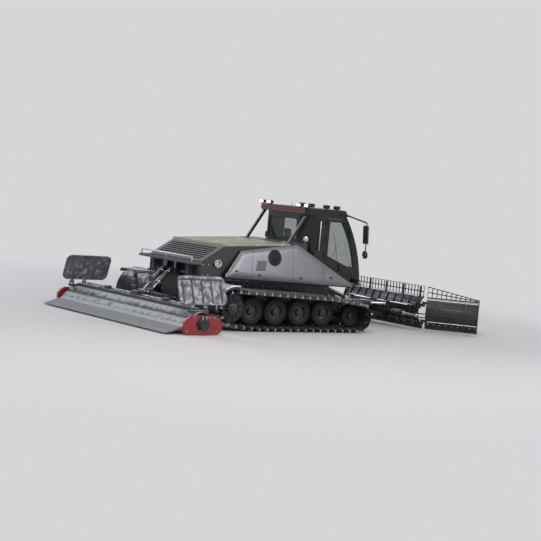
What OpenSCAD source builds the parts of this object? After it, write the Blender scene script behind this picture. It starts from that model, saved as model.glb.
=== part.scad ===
// Piste groomer: a wide tracked snow vehicle with a folding-wing blade in front and a tiller behind.
// X points forward, Y to the left and Z up. The origin lies on the ground under the middle of the machine.

/* [Tracks] */
// Distance over both tracks
tracks_over = 4280; // [4200:10:4340]
// Width of one track
track_w = 1590; // [1500:10:1600]
// Width of each of the two belts in a track
belt_w = 600; // [450:10:640]
// Thickness of a belt
belt_t = 22; // [16:1:28]
// Height of a cleat over its belt
cleat_h = 78; // [60:1:90]
// Spacing of the cleats, rounded to a whole number round the loop
cleat_pitch = 220; // [180:5:300]
// Width of a cleat at its root
cleat_root_w = 70; // [50:1:90]
// Width of a cleat at its tip
cleat_tip_w = 22; // [12:1:40]

/* [Wheels] */
// Radius of a road wheel
wheel_r = 320; // [290:5:330]
// Width of a tyre
tyre_w = 190; // [120:5:220]
// Place of the front road wheel along the machine
wheel_front_x = 300; // [250:10:400]
// Spacing of the road wheels
wheel_pitch = 700; // [670:5:710]
// Number of road wheels on a side
wheel_count = 4; // [3:1:4]
// Radius of the front idler
idler_r = 270; // [240:5:300]
// Place of the front idler along the machine
idler_x = 1180; // [1120:10:1200]
// Radius of the drive sprocket under its belt
sprocket_r = 339; // [300:1:345]
// Place of the drive sprocket along the machine
sprocket_x = -2560; // [-2620:10:-2540]
// Height of the drive sprocket's shaft
sprocket_z = 515; // [480:5:560]

/* [Chassis] */
// Width of the tub between the tracks
tub_w = 940; // [860:10:960]
// Front of the tub
tub_front_x = 1450; // [1400:10:1480]
// Height of the belly over the ground
belly_z = 300; // [260:5:340]
// Thickness of the tub's plates
tub_t = 25; // [15:1:40]
// Height of the platform's underside
platform_z = 1060; // [1050:5:1080]
// Thickness of the platform
platform_t = 40; // [25:1:50]
// Width of the platform over the tracks
platform_w = 2340; // [2280:10:2360]

/* [Engine hood] */
// Half width of the engine housing
hood_half_w = 1080; // [1040:5:1090]
// Height of the hood beside the cab
hood_front_z = 2010; // [1950:5:2040]
// Height of the hood where its tail begins
hood_break_z = 1890; // [1840:5:1920]
// Place where the hood's tail begins
hood_break_x = -2250; // [-2300:10:-2200]
// Rear end of the hood's tail
hood_tail_x = -2850; // [-2880:10:-2800]
// Height of the tail's rear edge
hood_tail_z = 1480; // [1460:5:1520]
// Thickness of the lid over the engine
lid_t = 45; // [30:1:60]
// Thickness of the housing's panels
hood_wall = 20; // [12:1:30]
// Lean of the side panels towards the middle, in degrees
panel_lean = 6.5; // [4:0.5:8]

/* [Cab] */
// Half width of the cab
cab_half_w = 920; // [880:5:940]
// Rear wall of the cab
cab_rear_x = 200; // [180:5:240]
// Height of the roof's top
roof_z = 2860; // [2820:5:2900]
// Thickness of the roof
roof_t = 150; // [120:5:170]
// Thickness of the cab's walls and doors
cab_wall = 50; // [40:1:60]
// Radius of the bulging front
nose_r = 3200; // [3100:10:3300]
// Rear edge of the doors
door_rear_x = 860; // [840:5:880]

/* [Blade] */
// Half width of the blade's middle section, up to the wing hinge
blade_half_w = 1480; // [1420:10:1520]
// Height of the solid moldboard over the ground
blade_top_z = 850; // [800:10:880]
// Height of the screen's top over the ground
screen_top_z = 1130; // [1080:10:1160]
// Length of a wing from its hinge
wing_len = 1390; // [1250:10:1450]
// Forward fold of the wings at rest, in degrees
wing_fold = 42.4; // [35:0.1:50]
// Radius of the moldboard's hollow face
mold_r = 570; // [540:5:620]
// Thickness of the moldboard
mold_t = 30; // [20:1:40]

/* [Tiller] */
// Half width of the tiller housing between its end plates
tiller_half_w = 2740; // [2600:10:2760]
// Place of the rotor along the machine
rotor_x = -3850; // [-3880:5:-3830]
// Height of the rotor's shaft
rotor_z = 245; // [235:5:265]
// Radius over the rotor's teeth
rotor_r = 200; // [160:5:205]
// Rear edge of the finisher mats
finisher_rear_x = -4740; // [-4760:10:-4640]

/* [Rams] */
// Outer radius of a cylinder barrel
barrel_r = 45; // [36:1:50]
// Radius of a piston rod
ram_rod_r = 27; // [16:1:29]
// Width of a ram's eye
eye_w = 60; // [60:1:80]
// Outer radius of a ram's eye
eye_r = 42; // [36:1:46]
// Thickness of the lugs that hold an eye
lug_t = 25; // [15:1:35]

/* [Hidden] */
$fn = 48;
seat_gap = 0.3;
move_gap = 5;
steel = "dimgray";
dark = [0.12, 0.12, 0.13];
silver = [0.62, 0.62, 0.64];
red = [0.45, 0.06, 0.06];

// Sizes worked out for the tracks
track_out = tracks_over / 2;
track_in = track_out - track_w;
belt_in = cleat_h + belt_t;
wheel_z = belt_in + wheel_r;
idler_z = belt_in + idler_r;
wheel_rear_x = wheel_front_x - (wheel_count - 1) * wheel_pitch;
tyre_y_in = track_in + belt_w - tyre_w / 2 - move_gap;
tyre_y_out = track_out - belt_w + tyre_w / 2 + move_gap;
tub_y = tub_w / 2;
hub_face_y = tyre_y_in - tyre_w / 2 - 60;
cleat_sink = 8;

// Sizes worked out for the chassis
platform_top = platform_z + platform_t;
platform_y = platform_w / 2;
platform_front_x = 1900;
tub_rear_x = -2750;
rear_box_x = tub_rear_x - 150;
tower_x = hood_tail_x - 150;
engine_bay_x0 = -2200;
engine_bay_x1 = -250;
engine_bay_y = 400;
sill_t = 30;
sill_top_z = platform_top + 140;

// Joint axes: blade and tiller linkages
lift_pin = [1600, 480];
lift_arm_y = 330;
turn_x = 3000;
turn_z = 480;
tilt_x = 3330;
tilt_shaft_r = 60;
pitch_pin = [3480, 300];
wing_pin_x = 3740;
tiller_pin = [-2980, 500];
tiller_arm_y = 330;
roll_x = -3740;
roll_z = 600;
fold_inset = 120;
fold_y = tiller_half_w - fold_inset;
fold_z = 585;
fold_lean = 20;
fold_x = [rotor_x - 200, rotor_x + 140];
fin_pin = [rotor_x - 275, 335];
fin_lug_inset = 740;
fin_lug_y = [fin_lug_inset - tiller_half_w, 0, tiller_half_w - fin_lug_inset];
lid_pin_x = -310;
door_pin = [door_rear_x - 22, cab_half_w + 16];

// Ram ends in the side view (X, Z) or plan view (X, Y)
blade_ram_base = [1530, 905];
blade_ram_eye = [2450, 585];
blade_ram_y = 200;
tiller_ram_base = [tower_x - 50, 1190];
tiller_ram_eye = [-3600, 640];
tiller_ram_y = 150;
angle_ram_base = [1900, 470];
angle_ram_eye = [3120, 700];
angle_ram_z = 600;
wing_ram_base = [3480, 560];
wing_ram_eye = [wing_pin_x - 275, blade_half_w + 50];
wing_ram_z = 400;

// Shapes used by many pieces
module slab(y0, y1) {
    translate([0, y1, 0]) rotate([90, 0, 0]) linear_extrude(y1 - y0) children();
}
module both_sides() {
    children();
    mirror([0, 1, 0]) children();
}
module block(x0, x1, y0, y1, z0, z1) {
    translate([x0, y0, z0]) cube([x1 - x0, y1 - y0, z1 - z0]);
}
module rod_y(x, z, y0, y1, r) {
    translate([x, y1, z]) rotate([90, 0, 0]) cylinder(r = r, h = y1 - y0);
}
module rod_x(y, z, x0, x1, r) {
    translate([x0, y, z]) rotate([0, 90, 0]) cylinder(r = r, h = x1 - x0);
}
module rod_z(x, y, z0, z1, r) {
    translate([x, y, z0]) cylinder(r = r, h = z1 - z0);
}
module bar(p, q, r) {
    v = q - p;
    translate(p) rotate([0, acos(v.z / norm(v)), atan2(v.y, v.x)]) cylinder(r = r, h = norm(v));
}
// Square tube from p to q in the side view, between y0 and y1
module beam(p, q, h, y0, y1) {
    v = q - p;
    translate([p.x, 0, p.y]) rotate([0, -atan2(v.y, v.x), 0]) block(0, norm(v), y0, y1, -h / 2, h / 2);
}
module rounded(x0, x1, z0, z1, r) {
    hull() for (x = [x0 + r, x1 - r], z = [z0 + r, z1 - r]) translate([x, z]) circle(r, $fn = 24);
}

// Ram parts: a local X axis runs from the pivot at p towards q; upright pins turn about Z
module aim(p, q) {
    v = q - p;
    translate(p) rotate([0, 0, atan2(v.y, v.x)]) rotate([0, -atan2(v.z, norm([v.x, v.y])), 0]) children();
}
module ram_eye(upright) {
    rotate([upright ? 0 : 90, 0, 0]) cylinder(r = eye_r, h = eye_w, center = true);
}
module ram_barrel(p, q, len, upright) {
    aim(p, q) difference() {
        union() {
            ram_eye(upright);
            rod_x(0, 0, 0, 70, 26);
            rod_x(0, 0, 65, len, barrel_r);
        }
        rod_x(0, 0, 80, len + 1, ram_rod_r + seat_gap);
    }
}
module ram_rod(q, p, len, upright) {
    aim(q, p) {
        ram_eye(upright);
        rod_x(0, 0, 0, len, ram_rod_r);
    }
}
// Two lugs that hold an eye, reaching from the pin towards an angle in the side view or the plan view
module lugs_side(x, y, z, angle, reach, gap = seat_gap, w = eye_w, r = eye_r) {
    translate([x, y, z]) rotate([0, -angle, 0]) both_sides() lug(reach, gap, w, r);
}
module lugs_plan(x, y, z, angle, reach, gap = seat_gap, w = eye_w, r = eye_r) {
    translate([x, y, z]) rotate([0, 0, angle]) rotate([90, 0, 0]) both_sides() lug(reach, gap, w, r);
}
module lug(reach, gap, w, r) {
    translate([0, w / 2 + gap + lug_t, 0]) rotate([90, 0, 0]) cylinder(r = r + 6, h = lug_t);
    block(0, reach, w / 2 + gap, w / 2 + gap + lug_t, -r - 6, r + 6);
}

// Track loop, clockwise from the sprocket: rows of centre x, centre z and radius to the belt's inner face
loop = [
    [sprocket_x, sprocket_z, sprocket_r],
    [wheel_front_x, wheel_z, wheel_r],
    [idler_x, idler_z, idler_r],
    [wheel_rear_x, wheel_z, wheel_r]];
loop_n = len(loop);
function next(i) = loop[(i + 1) % loop_n];
function span(i) = norm([next(i)[0] - loop[i][0], next(i)[1] - loop[i][1]]);
function run_normal(i) = atan2(next(i)[1] - loop[i][1], next(i)[0] - loop[i][0])
    + acos((loop[i][2] - next(i)[2]) / span(i));
function wrap_from(i) = run_normal((i + loop_n - 1) % loop_n);
function wrap(i) = let (turn = wrap_from(i) - run_normal(i)) turn < 0 ? turn + 360 : turn;
function run_len(i) = sqrt(pow(span(i), 2) - pow(loop[i][2] - next(i)[2], 2));
function arc_len(i) = (loop[i][2] + belt_t) * wrap(i) * PI / 180;
function on_wheel(i, angle, r) = [loop[i][0] + r * cos(angle), loop[i][1] + r * sin(angle)];
function arc_steps(i) = ceil(wrap(i) / 22);
function loop_points(e) = [for (i = [0:loop_n - 1]) each concat(
    [on_wheel(i, wrap_from(i), loop[i][2] + e)],
    [for (k = [0:arc_steps(i) - 1]) on_wheel(i, wrap_from(i) - wrap(i) * (k + 0.5) / arc_steps(i),
        (loop[i][2] + e) / cos(wrap(i) / arc_steps(i) / 2))],
    [on_wheel(i, wrap_from(i) - wrap(i), loop[i][2] + e)])];
function loop_to(i) = i < 0 ? 0 : arc_len(i) + run_len(i) + loop_to(i - 1);
loop_len = loop_to(loop_n - 1);
cleat_count = round(loop_len / cleat_pitch);
// Place on the belt's outer face at a distance s round the loop: x, z and the outward angle
function belt_at(s, i = 0) =
    s <= arc_len(i) ? arc_place(i, wrap_from(i) - wrap(i) * s / arc_len(i)) :
    s <= arc_len(i) + run_len(i) ? run_place(i, s - arc_len(i), run_normal(i)) :
    belt_at(s - arc_len(i) - run_len(i), (i + 1) % loop_n);
function arc_place(i, a) = concat(on_wheel(i, a, loop[i][2] + belt_t), [a]);
function run_place(i, d, a) = concat(on_wheel(i, a, loop[i][2] + belt_t) + d * [sin(a), -cos(a)], [a]);

module cleat_row() {
    for (k = [0:cleat_count - 1]) {
        place = belt_at((k + 0.5) * loop_len / cleat_count);
        translate([place[0], place[1]]) rotate(place[2] - 90) polygon([
            [-cleat_root_w / 2, -cleat_sink], [cleat_root_w / 2, -cleat_sink],
            [cleat_tip_w / 2, cleat_h], [-cleat_tip_w / 2, cleat_h]]);
    }
}
module belt_ring() {
    difference() {
        polygon(loop_points(belt_t));
        polygon(loop_points(0));
    }
}
module track() {
    slab(track_in, track_out) cleat_row();
    slab(track_in, track_in + belt_w) belt_ring();
    slab(track_out - belt_w, track_out) belt_ring();
}
module track_left() {
    color(dark) track();
}
module track_right() {
    color(dark) mirror([0, 1, 0]) track();
}

// Road wheels are many-sided discs, which keeps their meshes light; the scene shows them round
wheel_sides = 18;
hub_sides = 8;
wheel_hub_r = 85;
module many_sided(r, sides) {
    polygon([for (k = [0:sides - 1]) r * [cos(360 * (k + 0.5) / sides), sin(360 * (k + 0.5) / sides)]]);
}
module wheel(x, z, r) {
    for (y = [tyre_y_in, tyre_y_out])
        slab(y - tyre_w / 2, y + tyre_w / 2) translate([x, z]) many_sided(r - seat_gap, wheel_sides);
    slab(hub_face_y, tyre_y_out) translate([x, z]) many_sided(wheel_hub_r, hub_sides);
}
module road_wheels() {
    color(dark) both_sides() {
        for (k = [0:wheel_count - 1]) wheel(wheel_front_x - k * wheel_pitch, wheel_z, wheel_r);
        wheel(idler_x, idler_z, idler_r);
    }
}
module swing_arm(x, z) {
    rod_y(x, z, tub_y, hub_face_y, 45);
    rod_y(x, z, tub_y, tub_y + 45, 75);
    rod_y(x + 240, z + 90, tub_y, tub_y + 45, 75);
    beam([x, z], [x + 240, z + 90], 90, tub_y, tub_y + 45);
}
module wheel_axles() {
    color(steel) both_sides() {
        for (k = [0:wheel_count - 1]) swing_arm(wheel_front_x - k * wheel_pitch, wheel_z);
        swing_arm(idler_x, idler_z);
    }
}
// Toothed ring of a sprocket, seen from the side
sprocket_teeth = 10;
notch_r = 34;
module sprocket_ring() {
    translate([sprocket_x, sprocket_z]) difference() {
        circle(sprocket_r - seat_gap, $fn = 60);
        for (k = [0:sprocket_teeth - 1]) rotate(360 * k / sprocket_teeth) translate([sprocket_r, 0])
            circle(notch_r, $fn = 8);
    }
}
module drive_sprockets() {
    color(steel) both_sides() {
        rod_y(sprocket_x, sprocket_z, tub_y, track_in + 120, 190);
        rod_y(sprocket_x, sprocket_z, track_in + 100, track_out - 120, 120);
        for (y = [track_in + 200, track_in + 480, track_out - 500, track_out - 220])
            slab(y, y + 20) sprocket_ring();
    }
}

// Chassis: a tub between the tracks, a platform over them, sills, and lugs for the blade and the tiller
module chassis_frame() {
    color(steel) {
        difference() {
            union() {
                block(tub_rear_x, tub_front_x, -tub_y, tub_y, belly_z, platform_z + 1);
                block(hood_tail_x, platform_front_x, -platform_y, platform_y, platform_z, platform_top);
            }
            block(tub_rear_x + tub_t, tub_front_x - tub_t, -tub_y + tub_t, tub_y - tub_t,
                belly_z + tub_t, platform_z);
            block(engine_bay_x0, engine_bay_x1, -engine_bay_y, engine_bay_y,
                platform_z - 1, platform_top + 1);
        }
        for (x = [-1900, -1200, -400, 600])
            block(x, x + 60, -tub_y + tub_t, tub_y - tub_t, belly_z + tub_t, belly_z + 160);
        rear_end();
        front_end();
    }
}
module side_sills() {
    color(steel) both_sides()
        block(-2230, 1500, platform_y - sill_t, platform_y, platform_top + seat_gap, sill_top_z);
}
module rear_end() {
    block(rear_box_x, tub_rear_x, -tub_y, tub_y, belly_z, platform_z);
    block(tower_x, hood_tail_x, -tub_y, tub_y, platform_z, platform_top);
    both_sides() {
        block(tower_x, hood_tail_x - 3, 250, 290, platform_top, 1400);
        lugs_side(tiller_pin.x, tiller_arm_y, tiller_pin.y, 0, 100, w = 90, r = 70);
        lugs_side(tiller_ram_base.x, tiller_ram_y, tiller_ram_base.y, 0, 60);
        block(tower_x, tower_x + 40, 80, 290, 1120, 1250);
    }
}
module front_end() {
    both_sides() {
        lugs_side(lift_pin.x, lift_arm_y, lift_pin.y, 180, 160, w = 90, r = 70);
        lugs_side(blade_ram_base.x, blade_ram_y, blade_ram_base.y, 180, 90);
    }
    difference() {
        slab(-20, 20) translate([tub_front_x + 50, 700]) circle(60);
        rod_y(tub_front_x + 65, 700, -21, 21, 22);
    }
}
module engine_block() {
    color(steel) {
        block(-2000, -500, -330, 330, 700, 1500);
        for (x = [-1800, -700], y = [-250, 150]) block(x, x + 100, y, y + 100, belly_z + tub_t, 700);
    }
}

// Engine housing with a lid; the top falls from beside the cab to the tail
hood_front_x = cab_rear_x - 30;
function hood_z(x) = hood_front_z + (x - hood_front_x)
    * (hood_front_z - hood_break_z) / (hood_front_x - hood_break_x);
function lid_seat_z(x) = hood_z(x) - lid_t - seat_gap;
lid_front_x = lid_pin_x - 15;
lid_rear_x = hood_break_x + 5;
tail_angle = atan2(lid_seat_z(hood_break_x) - hood_tail_z, hood_break_x - hood_tail_x);
module engine_housing() {
    color(dark) difference() {
        slab(-hood_half_w, hood_half_w) polygon([
            [hood_front_x, platform_top], [hood_front_x, hood_z(hood_front_x)],
            [lid_pin_x + 45, hood_z(lid_pin_x + 45)], [lid_pin_x + 45, lid_seat_z(lid_pin_x + 45)],
            [hood_break_x, lid_seat_z(hood_break_x)], [hood_tail_x, hood_tail_z],
            [hood_tail_x, platform_top]]);
        slab(-hood_half_w + hood_wall, hood_half_w - hood_wall) polygon([
            [hood_front_x - hood_wall, platform_top - 1],
            [hood_front_x - hood_wall, lid_seat_z(hood_front_x) - hood_wall],
            [hood_break_x, lid_seat_z(hood_break_x) - hood_wall],
            [hood_tail_x + hood_wall, hood_tail_z - hood_wall],
            [hood_tail_x + hood_wall, platform_top - 1]]);
        block(hood_break_x + 150, lid_pin_x - 120, -hood_half_w + 120, hood_half_w - 120, 1500, 2200);
        translate([hood_tail_x, 0, hood_tail_z]) rotate([0, -tail_angle, 0])
            for (k = [1:7]) block(k * 80, k * 80 + 40, -hood_half_w + 150, hood_half_w - 150, -60, 60);
    }
    color(dark) both_sides() rod_y(lid_pin_x, hood_z(lid_pin_x) + 12, 700, 760, 20);
    color(dark) both_sides() block(lid_pin_x - 4, lid_pin_x + 60, 700, 760, lid_seat_z(lid_pin_x + 60) - 5,
        hood_z(lid_pin_x) + 4);
}
module hood_lid() {
    color([0.55, 0.56, 0.5]) difference() {
        slab(-hood_half_w - 5, hood_half_w + 5) polygon([
            [lid_front_x - 25, hood_z(lid_front_x - 25)], [lid_rear_x, hood_z(lid_rear_x)],
            [lid_rear_x, hood_z(lid_rear_x) - lid_t], [lid_front_x - 25, hood_z(lid_front_x - 25) - lid_t]]);
        both_sides() block(lid_pin_x - 60, lid_pin_x + 60, 690, 770, 1800, 2200);
    }
    color([0.55, 0.56, 0.5]) both_sides() {
        rod_y(lid_pin_x, hood_z(lid_pin_x) + 12, 760 + seat_gap, 830, 20);
        block(lid_front_x - 80, lid_pin_x, 770 + seat_gap, 830,
            hood_z(lid_pin_x) - 6, hood_z(lid_pin_x) + 12);
    }
}

// Side panels: leaning trapezoids; rows of the outline are x and height over the platform's underside
panel_outline = [[-2200, 130], [-1780, 700], [-160, 910], [1520, 20]];
panel_t = 40;
panel_y = 1250;
panel_base_z = 1040;
// The pressing's sloping rim: how wide it is, and how far its edge falls back
panel_rim_w = 100;
panel_rim_h = 30;
module panel_shape() {
    hull() for (p = panel_outline) translate(p) circle(40, $fn = 24);
}
module side_panels() {
    color(silver) both_sides() {
        translate([0, panel_y, panel_base_z]) rotate([panel_lean, 0, 0]) hull() {
            slab(-panel_t, -panel_rim_h) panel_shape();
            slab(-panel_t, 0) offset(delta = -panel_rim_w) panel_shape();
        }
        for (x = [-1900, -600, 1150])
            block(x - 40, x + 40, platform_y + seat_gap, panel_y - panel_t, 1150, 1210);
    }
}

// Deck behind the hood's tail
deck_z = 1400;
deck_len = 300;
deck_rear_x = hood_tail_x - deck_len;
deck_mid_x = hood_tail_x - 115;
deck_hole_x = 75;
deck_hole_y = 320;
deck_hole_r = 9;
deck_plate_top = 30;
module rear_deck() {
    color(steel) {
        difference() {
            block(deck_rear_x, hood_tail_x - 3, -1120, 1120, deck_z, deck_z + 60);
            block(deck_rear_x + 12, hood_tail_x - 15, -1108, 1108, deck_z + 25, deck_z + 61);
            for (x = [-deck_hole_x, deck_hole_x], y = [-deck_hole_y, deck_hole_y])
                rod_z(deck_mid_x + x, y, deck_z - 1, deck_z + 30, deck_hole_r);
        }
        // Raised plate that the equipment's foot lies on, clear of the rail's posts
        difference() {
            block(deck_rear_x + 75, hood_tail_x - 25, -1090, 1090, deck_z + 24, deck_z + deck_plate_top);
            for (x = [-deck_hole_x, deck_hole_x], y = [-deck_hole_y, deck_hole_y])
                rod_z(deck_mid_x + x, y, deck_z - 1, deck_z + 40, deck_hole_r);
        }
        both_sides() block(tower_x, hood_tail_x - 3, 700, 740, platform_top + 40, deck_z);
        both_sides() block(hood_tail_x - 43, hood_tail_x - 3, 290, 740,
            platform_top + 40, platform_top + 100);
    }
}
guard_r = 510;
guard_t = 12;
// Ring sector over the sprocket; its front ends at the line up to the given x
module guard_sector(r0, r1, front_x) {
    translate([sprocket_x, sprocket_z]) intersection() {
        difference() {
            circle(r1, $fn = 96);
            circle(r0, $fn = 96);
        }
        polygon([[0, 0], [front_x, 900], [-900, 900], [-900, -150]]);
    }
}
module mudguards() {
    color(dark) both_sides() {
        slab(track_in + 10, track_out) guard_sector(guard_r, guard_r + guard_t, 260);
        slab(track_out - guard_t, track_out) guard_sector(guard_r - 60, guard_r + guard_t, 60);
        for (x = [sprocket_x - 60, sprocket_x + 30], y = [640, 1050])
            block(x, x + 30, y, y + 60, sprocket_z + guard_r, platform_z);
    }
}

// Cab: a box rounded in front by one large sphere, inset i from its outer face
nose_c = [-1027, 886];
chamfer = 300;
module cab_solid(i, z0, z1) {
    slope = i * (sqrt(2) - 1);
    intersection() {
        translate([nose_c.x, 0, nose_c.y]) sphere(nose_r - i, $fn = 260);
        translate([0, 0, z0]) linear_extrude(z1 - z0) polygon([
            [cab_rear_x + i, -cab_half_w + chamfer + slope], [cab_rear_x + chamfer + slope, -cab_half_w + i],
            [2400, -cab_half_w + i], [2400, cab_half_w - i], [cab_rear_x + chamfer + slope, cab_half_w - i],
            [cab_rear_x + i, cab_half_w - chamfer - slope]]);
    }
}
pillar_r = 2950;
door_top_z = 2640;
door_low_z = 1265;
door_back_z = 1560;
// Door window: frame left round it, and its lower edge, which falls to a knee and then runs level
window_frame = 65;
window_back_z = 1730;
window_knee_x = 1600;
window_low_z = 1480;
// Outline with its front on the pillar's curve: its back and knee are points, g is its inset
module fronted_outline(back, knee, top, front_r, g) {
    intersection() {
        translate(nose_c) circle(front_r - g, $fn = 360);
        polygon([
            [back.x + g, back.y + g * 1.1], [knee.x + g * 0.2, knee.y + g],
            [2300, knee.y + g], [2300, top - g], [back.x + g, top - g]]);
    }
}
door_knee_x = 1450;
module door_outline(g) {
    fronted_outline([door_rear_x, door_back_z], [door_knee_x, door_low_z], door_top_z, pillar_r, g);
}
module window_outline(g) {
    fronted_outline([door_rear_x + window_frame, window_back_z], [window_knee_x, window_low_z],
        door_top_z - window_frame, pillar_r - window_frame, g);
}
cab_ceiling_z = roof_z - roof_t;
floor_z = platform_top + seat_gap;
screen_y = 800;
screen_low_z = 1430;
rear_window_y = 560;
rear_window_z = [2080, 2580];
module cab_shell() {
    color(dark) {
        difference() {
            cab_solid(0, floor_z, cab_ceiling_z);
            cab_solid(cab_wall, floor_z + cab_wall, cab_ceiling_z + 1);
            both_sides() slab(cab_half_w - cab_wall - 40, cab_half_w + 1) door_outline(0);
            block(1300, 2400, -screen_y, screen_y, screen_low_z, door_top_z);
            block(cab_rear_x - 1, cab_rear_x + cab_wall + 1, -rear_window_y, rear_window_y,
                rear_window_z[0], rear_window_z[1]);
        }
        both_sides() door_knuckles(0);
    }
}
// Three knuckles on the shell, and one beside each of them on the door
hinge_z = [1700, 2100, 2480];
module door_knuckles(on_door) {
    for (z = hinge_z) {
        z0 = z + on_door * (50 + seat_gap);
        rod_z(door_pin.x, door_pin.y, z0, z0 + 50, 13);
        if (on_door == 0) block(door_pin.x - 40, door_pin.x, cab_half_w - 5, door_pin.y + 8, z0, z0 + 50);
        if (on_door == 1) {
            block(door_pin.x, door_pin.x + 90, cab_half_w + 0.5, door_pin.y + 8, z0, z0 + 50);
            block(door_rear_x + 12, door_pin.x + 90, cab_half_w - 5, door_pin.y + 8, z0, z0 + 50);
        }
    }
}
handle_x = 1330;
handle_z = [1385, 1545];
module door() {
    difference() {
        slab(cab_half_w - cab_wall, cab_half_w) door_outline(move_gap);
        slab(cab_half_w - cab_wall - 1, cab_half_w + 1) window_outline(0);
    }
    door_knuckles(1);
    rod_z(handle_x, cab_half_w + 30, handle_z[0], handle_z[1], 12);
    for (z = [handle_z[0] + 10, handle_z[1] - 10]) rod_y(handle_x, z, cab_half_w - 5, cab_half_w + 30, 10);
}
module door_pane() {
    slab(cab_half_w - 32, cab_half_w - 22) window_outline(seat_gap);
}
module door_left() {
    color(dark) door();
}
module door_right() {
    color(dark) mirror([0, 1, 0]) door();
}
module door_glass_left() {
    color("darkseagreen", 0.5) door_pane();
}
module door_glass_right() {
    color("darkseagreen", 0.5) mirror([0, 1, 0]) door_pane();
}
module cab_roof() {
    color(dark) difference() {
        intersection() {
            translate([nose_c.x + 60, 0, nose_c.y]) sphere(nose_r, $fn = 260);
            block(cab_rear_x - 40, 2400, -cab_half_w - 25, cab_half_w + 25,
                cab_ceiling_z + seat_gap, roof_z);
        }
        both_sides() translate([cab_rear_x - 40, cab_half_w + 25, 0]) rotate(45)
            block(-60, 60, -60, 60, cab_ceiling_z - 1, roof_z + 1);
    }
}
module cab_glass() {
    color("darkseagreen", 0.5) {
        intersection() {
            difference() {
                cab_solid(12, screen_low_z + seat_gap, door_top_z - seat_gap);
                cab_solid(24, screen_low_z, door_top_z);
            }
            block(1300, 2400, -screen_y + seat_gap, screen_y - seat_gap, screen_low_z, door_top_z);
        }
        block(cab_rear_x + 20, cab_rear_x + 30, -rear_window_y + seat_gap, rear_window_y - seat_gap,
            rear_window_z[0] + seat_gap, rear_window_z[1] - seat_gap);
    }
}
cab_floor_top = floor_z + cab_wall;
module seat(y) {
    block(800, 1150, y - 150, y + 150, cab_floor_top, 1400);
    block(740, 1270, y - 250, y + 250, 1400, 1520);
    translate([800, 0, 1500]) rotate([0, -12, 0]) block(-60, 60, y - 240, y + 240, 0, 640);
    translate([668, 0, 2110]) rotate([0, -12, 0]) block(-40, 40, y - 130, y + 130, 0, 190);
}
module seats() {
    color(dark) {
        seat(340);
        seat(-400);
    }
}
module console() {
    color(dark) {
        slab(-420, 420) polygon([[1700, cab_floor_top], [1980, cab_floor_top], [2020, 1300], [1960, 1480],
            [1780, 1440], [1720, 1300]]);
        block(900, 1230, -60, 30, cab_floor_top, 1620);
        rod_z(1190, -15, 1600, 1760, 22);
        block(1560, 1590, 560, 800, 1900, 2080);
        bar([1580, 690, 1910], [1790, 400, 1440], 14);
    }
}

// Mirrors on arms from the roof's front corners
mirror_arm_y = cab_half_w + 25 + 18 + seat_gap;
mirror_arm = [[1380, mirror_arm_y, 2760], [1790, 1290, 2610]];
module mirrors() {
    color(dark) both_sides() {
        bar(mirror_arm[0], mirror_arm[1], 18);
        bar([1240, mirror_arm_y, 2760], [1400, mirror_arm_y, 2760], 18);
        bar(mirror_arm[1], [1830, 1290, 1800], 14);
        translate([1800, 1290, 2100]) rotate([0, -4, 8]) block(-20, 25, -95, 95, 0, 440);
        translate([1815, 1290, 1830]) rotate([0, 84, 8]) cylinder(r = 95, h = 40, center = true);
    }
}
// Work lights: rows of x, y, z and the way that the lens points
lamp_rows = [for (y = [-900, -600, 600, 900]) [205, y, roof_z, 180], for (y = [-700, -300, 300, 700])
    [1280, y, roof_z, 0]];
module lamp_box(x, y, z, turn) {
    translate([x, y, z]) rotate(turn) {
        block(-45, 45, -85, 85, 12, 92);
        block(-20, 20, -20, 20, seat_gap, 20);
    }
}
module work_lights() {
    color(silver) {
        for (lamp = lamp_rows) lamp_box(lamp[0], lamp[1], lamp[2], lamp[3]);
        both_sides() {
            translate([350, 770, 2100]) rotate([0, 90, 135])
                translate([0, 0, seat_gap]) cylinder(r = 75, h = 60);
            translate([-2420, hood_half_w + seat_gap, 1440]) rotate([-90, 0, 0]) difference() {
                cylinder(r = 95, h = 50);
                translate([0, 0, 15]) cylinder(r = 62, h = 40);
            }
            block(1780, 1870, 960, 1130, platform_top + seat_gap, platform_top + 110);
        }
    }
}
module rollover_struts() {
    color(dark) both_sides() slab(820, 880) polygon([
        [-270, hood_z(-270) + seat_gap], [-190, hood_z(-190) + seat_gap],
        [300, cab_ceiling_z], [220, cab_ceiling_z]]);
}
module handrails() {
    color(silver) both_sides() {
        rod_z(620, cab_half_w + 45, 1850, 2560, 14);
        for (z = [1900, 2510]) rod_y(620, z, cab_half_w + seat_gap, cab_half_w + 45, 12);
        rod_z(deck_rear_x + 40, 1060, deck_z + 25 + seat_gap, deck_z + 170, 16);
        rod_z(deck_rear_x + 40, 20, deck_z + 25 + seat_gap, deck_z + 170, 16);
        rod_y(deck_rear_x + 40, deck_z + 165, 0, 1060, 16);
    }
}

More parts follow.
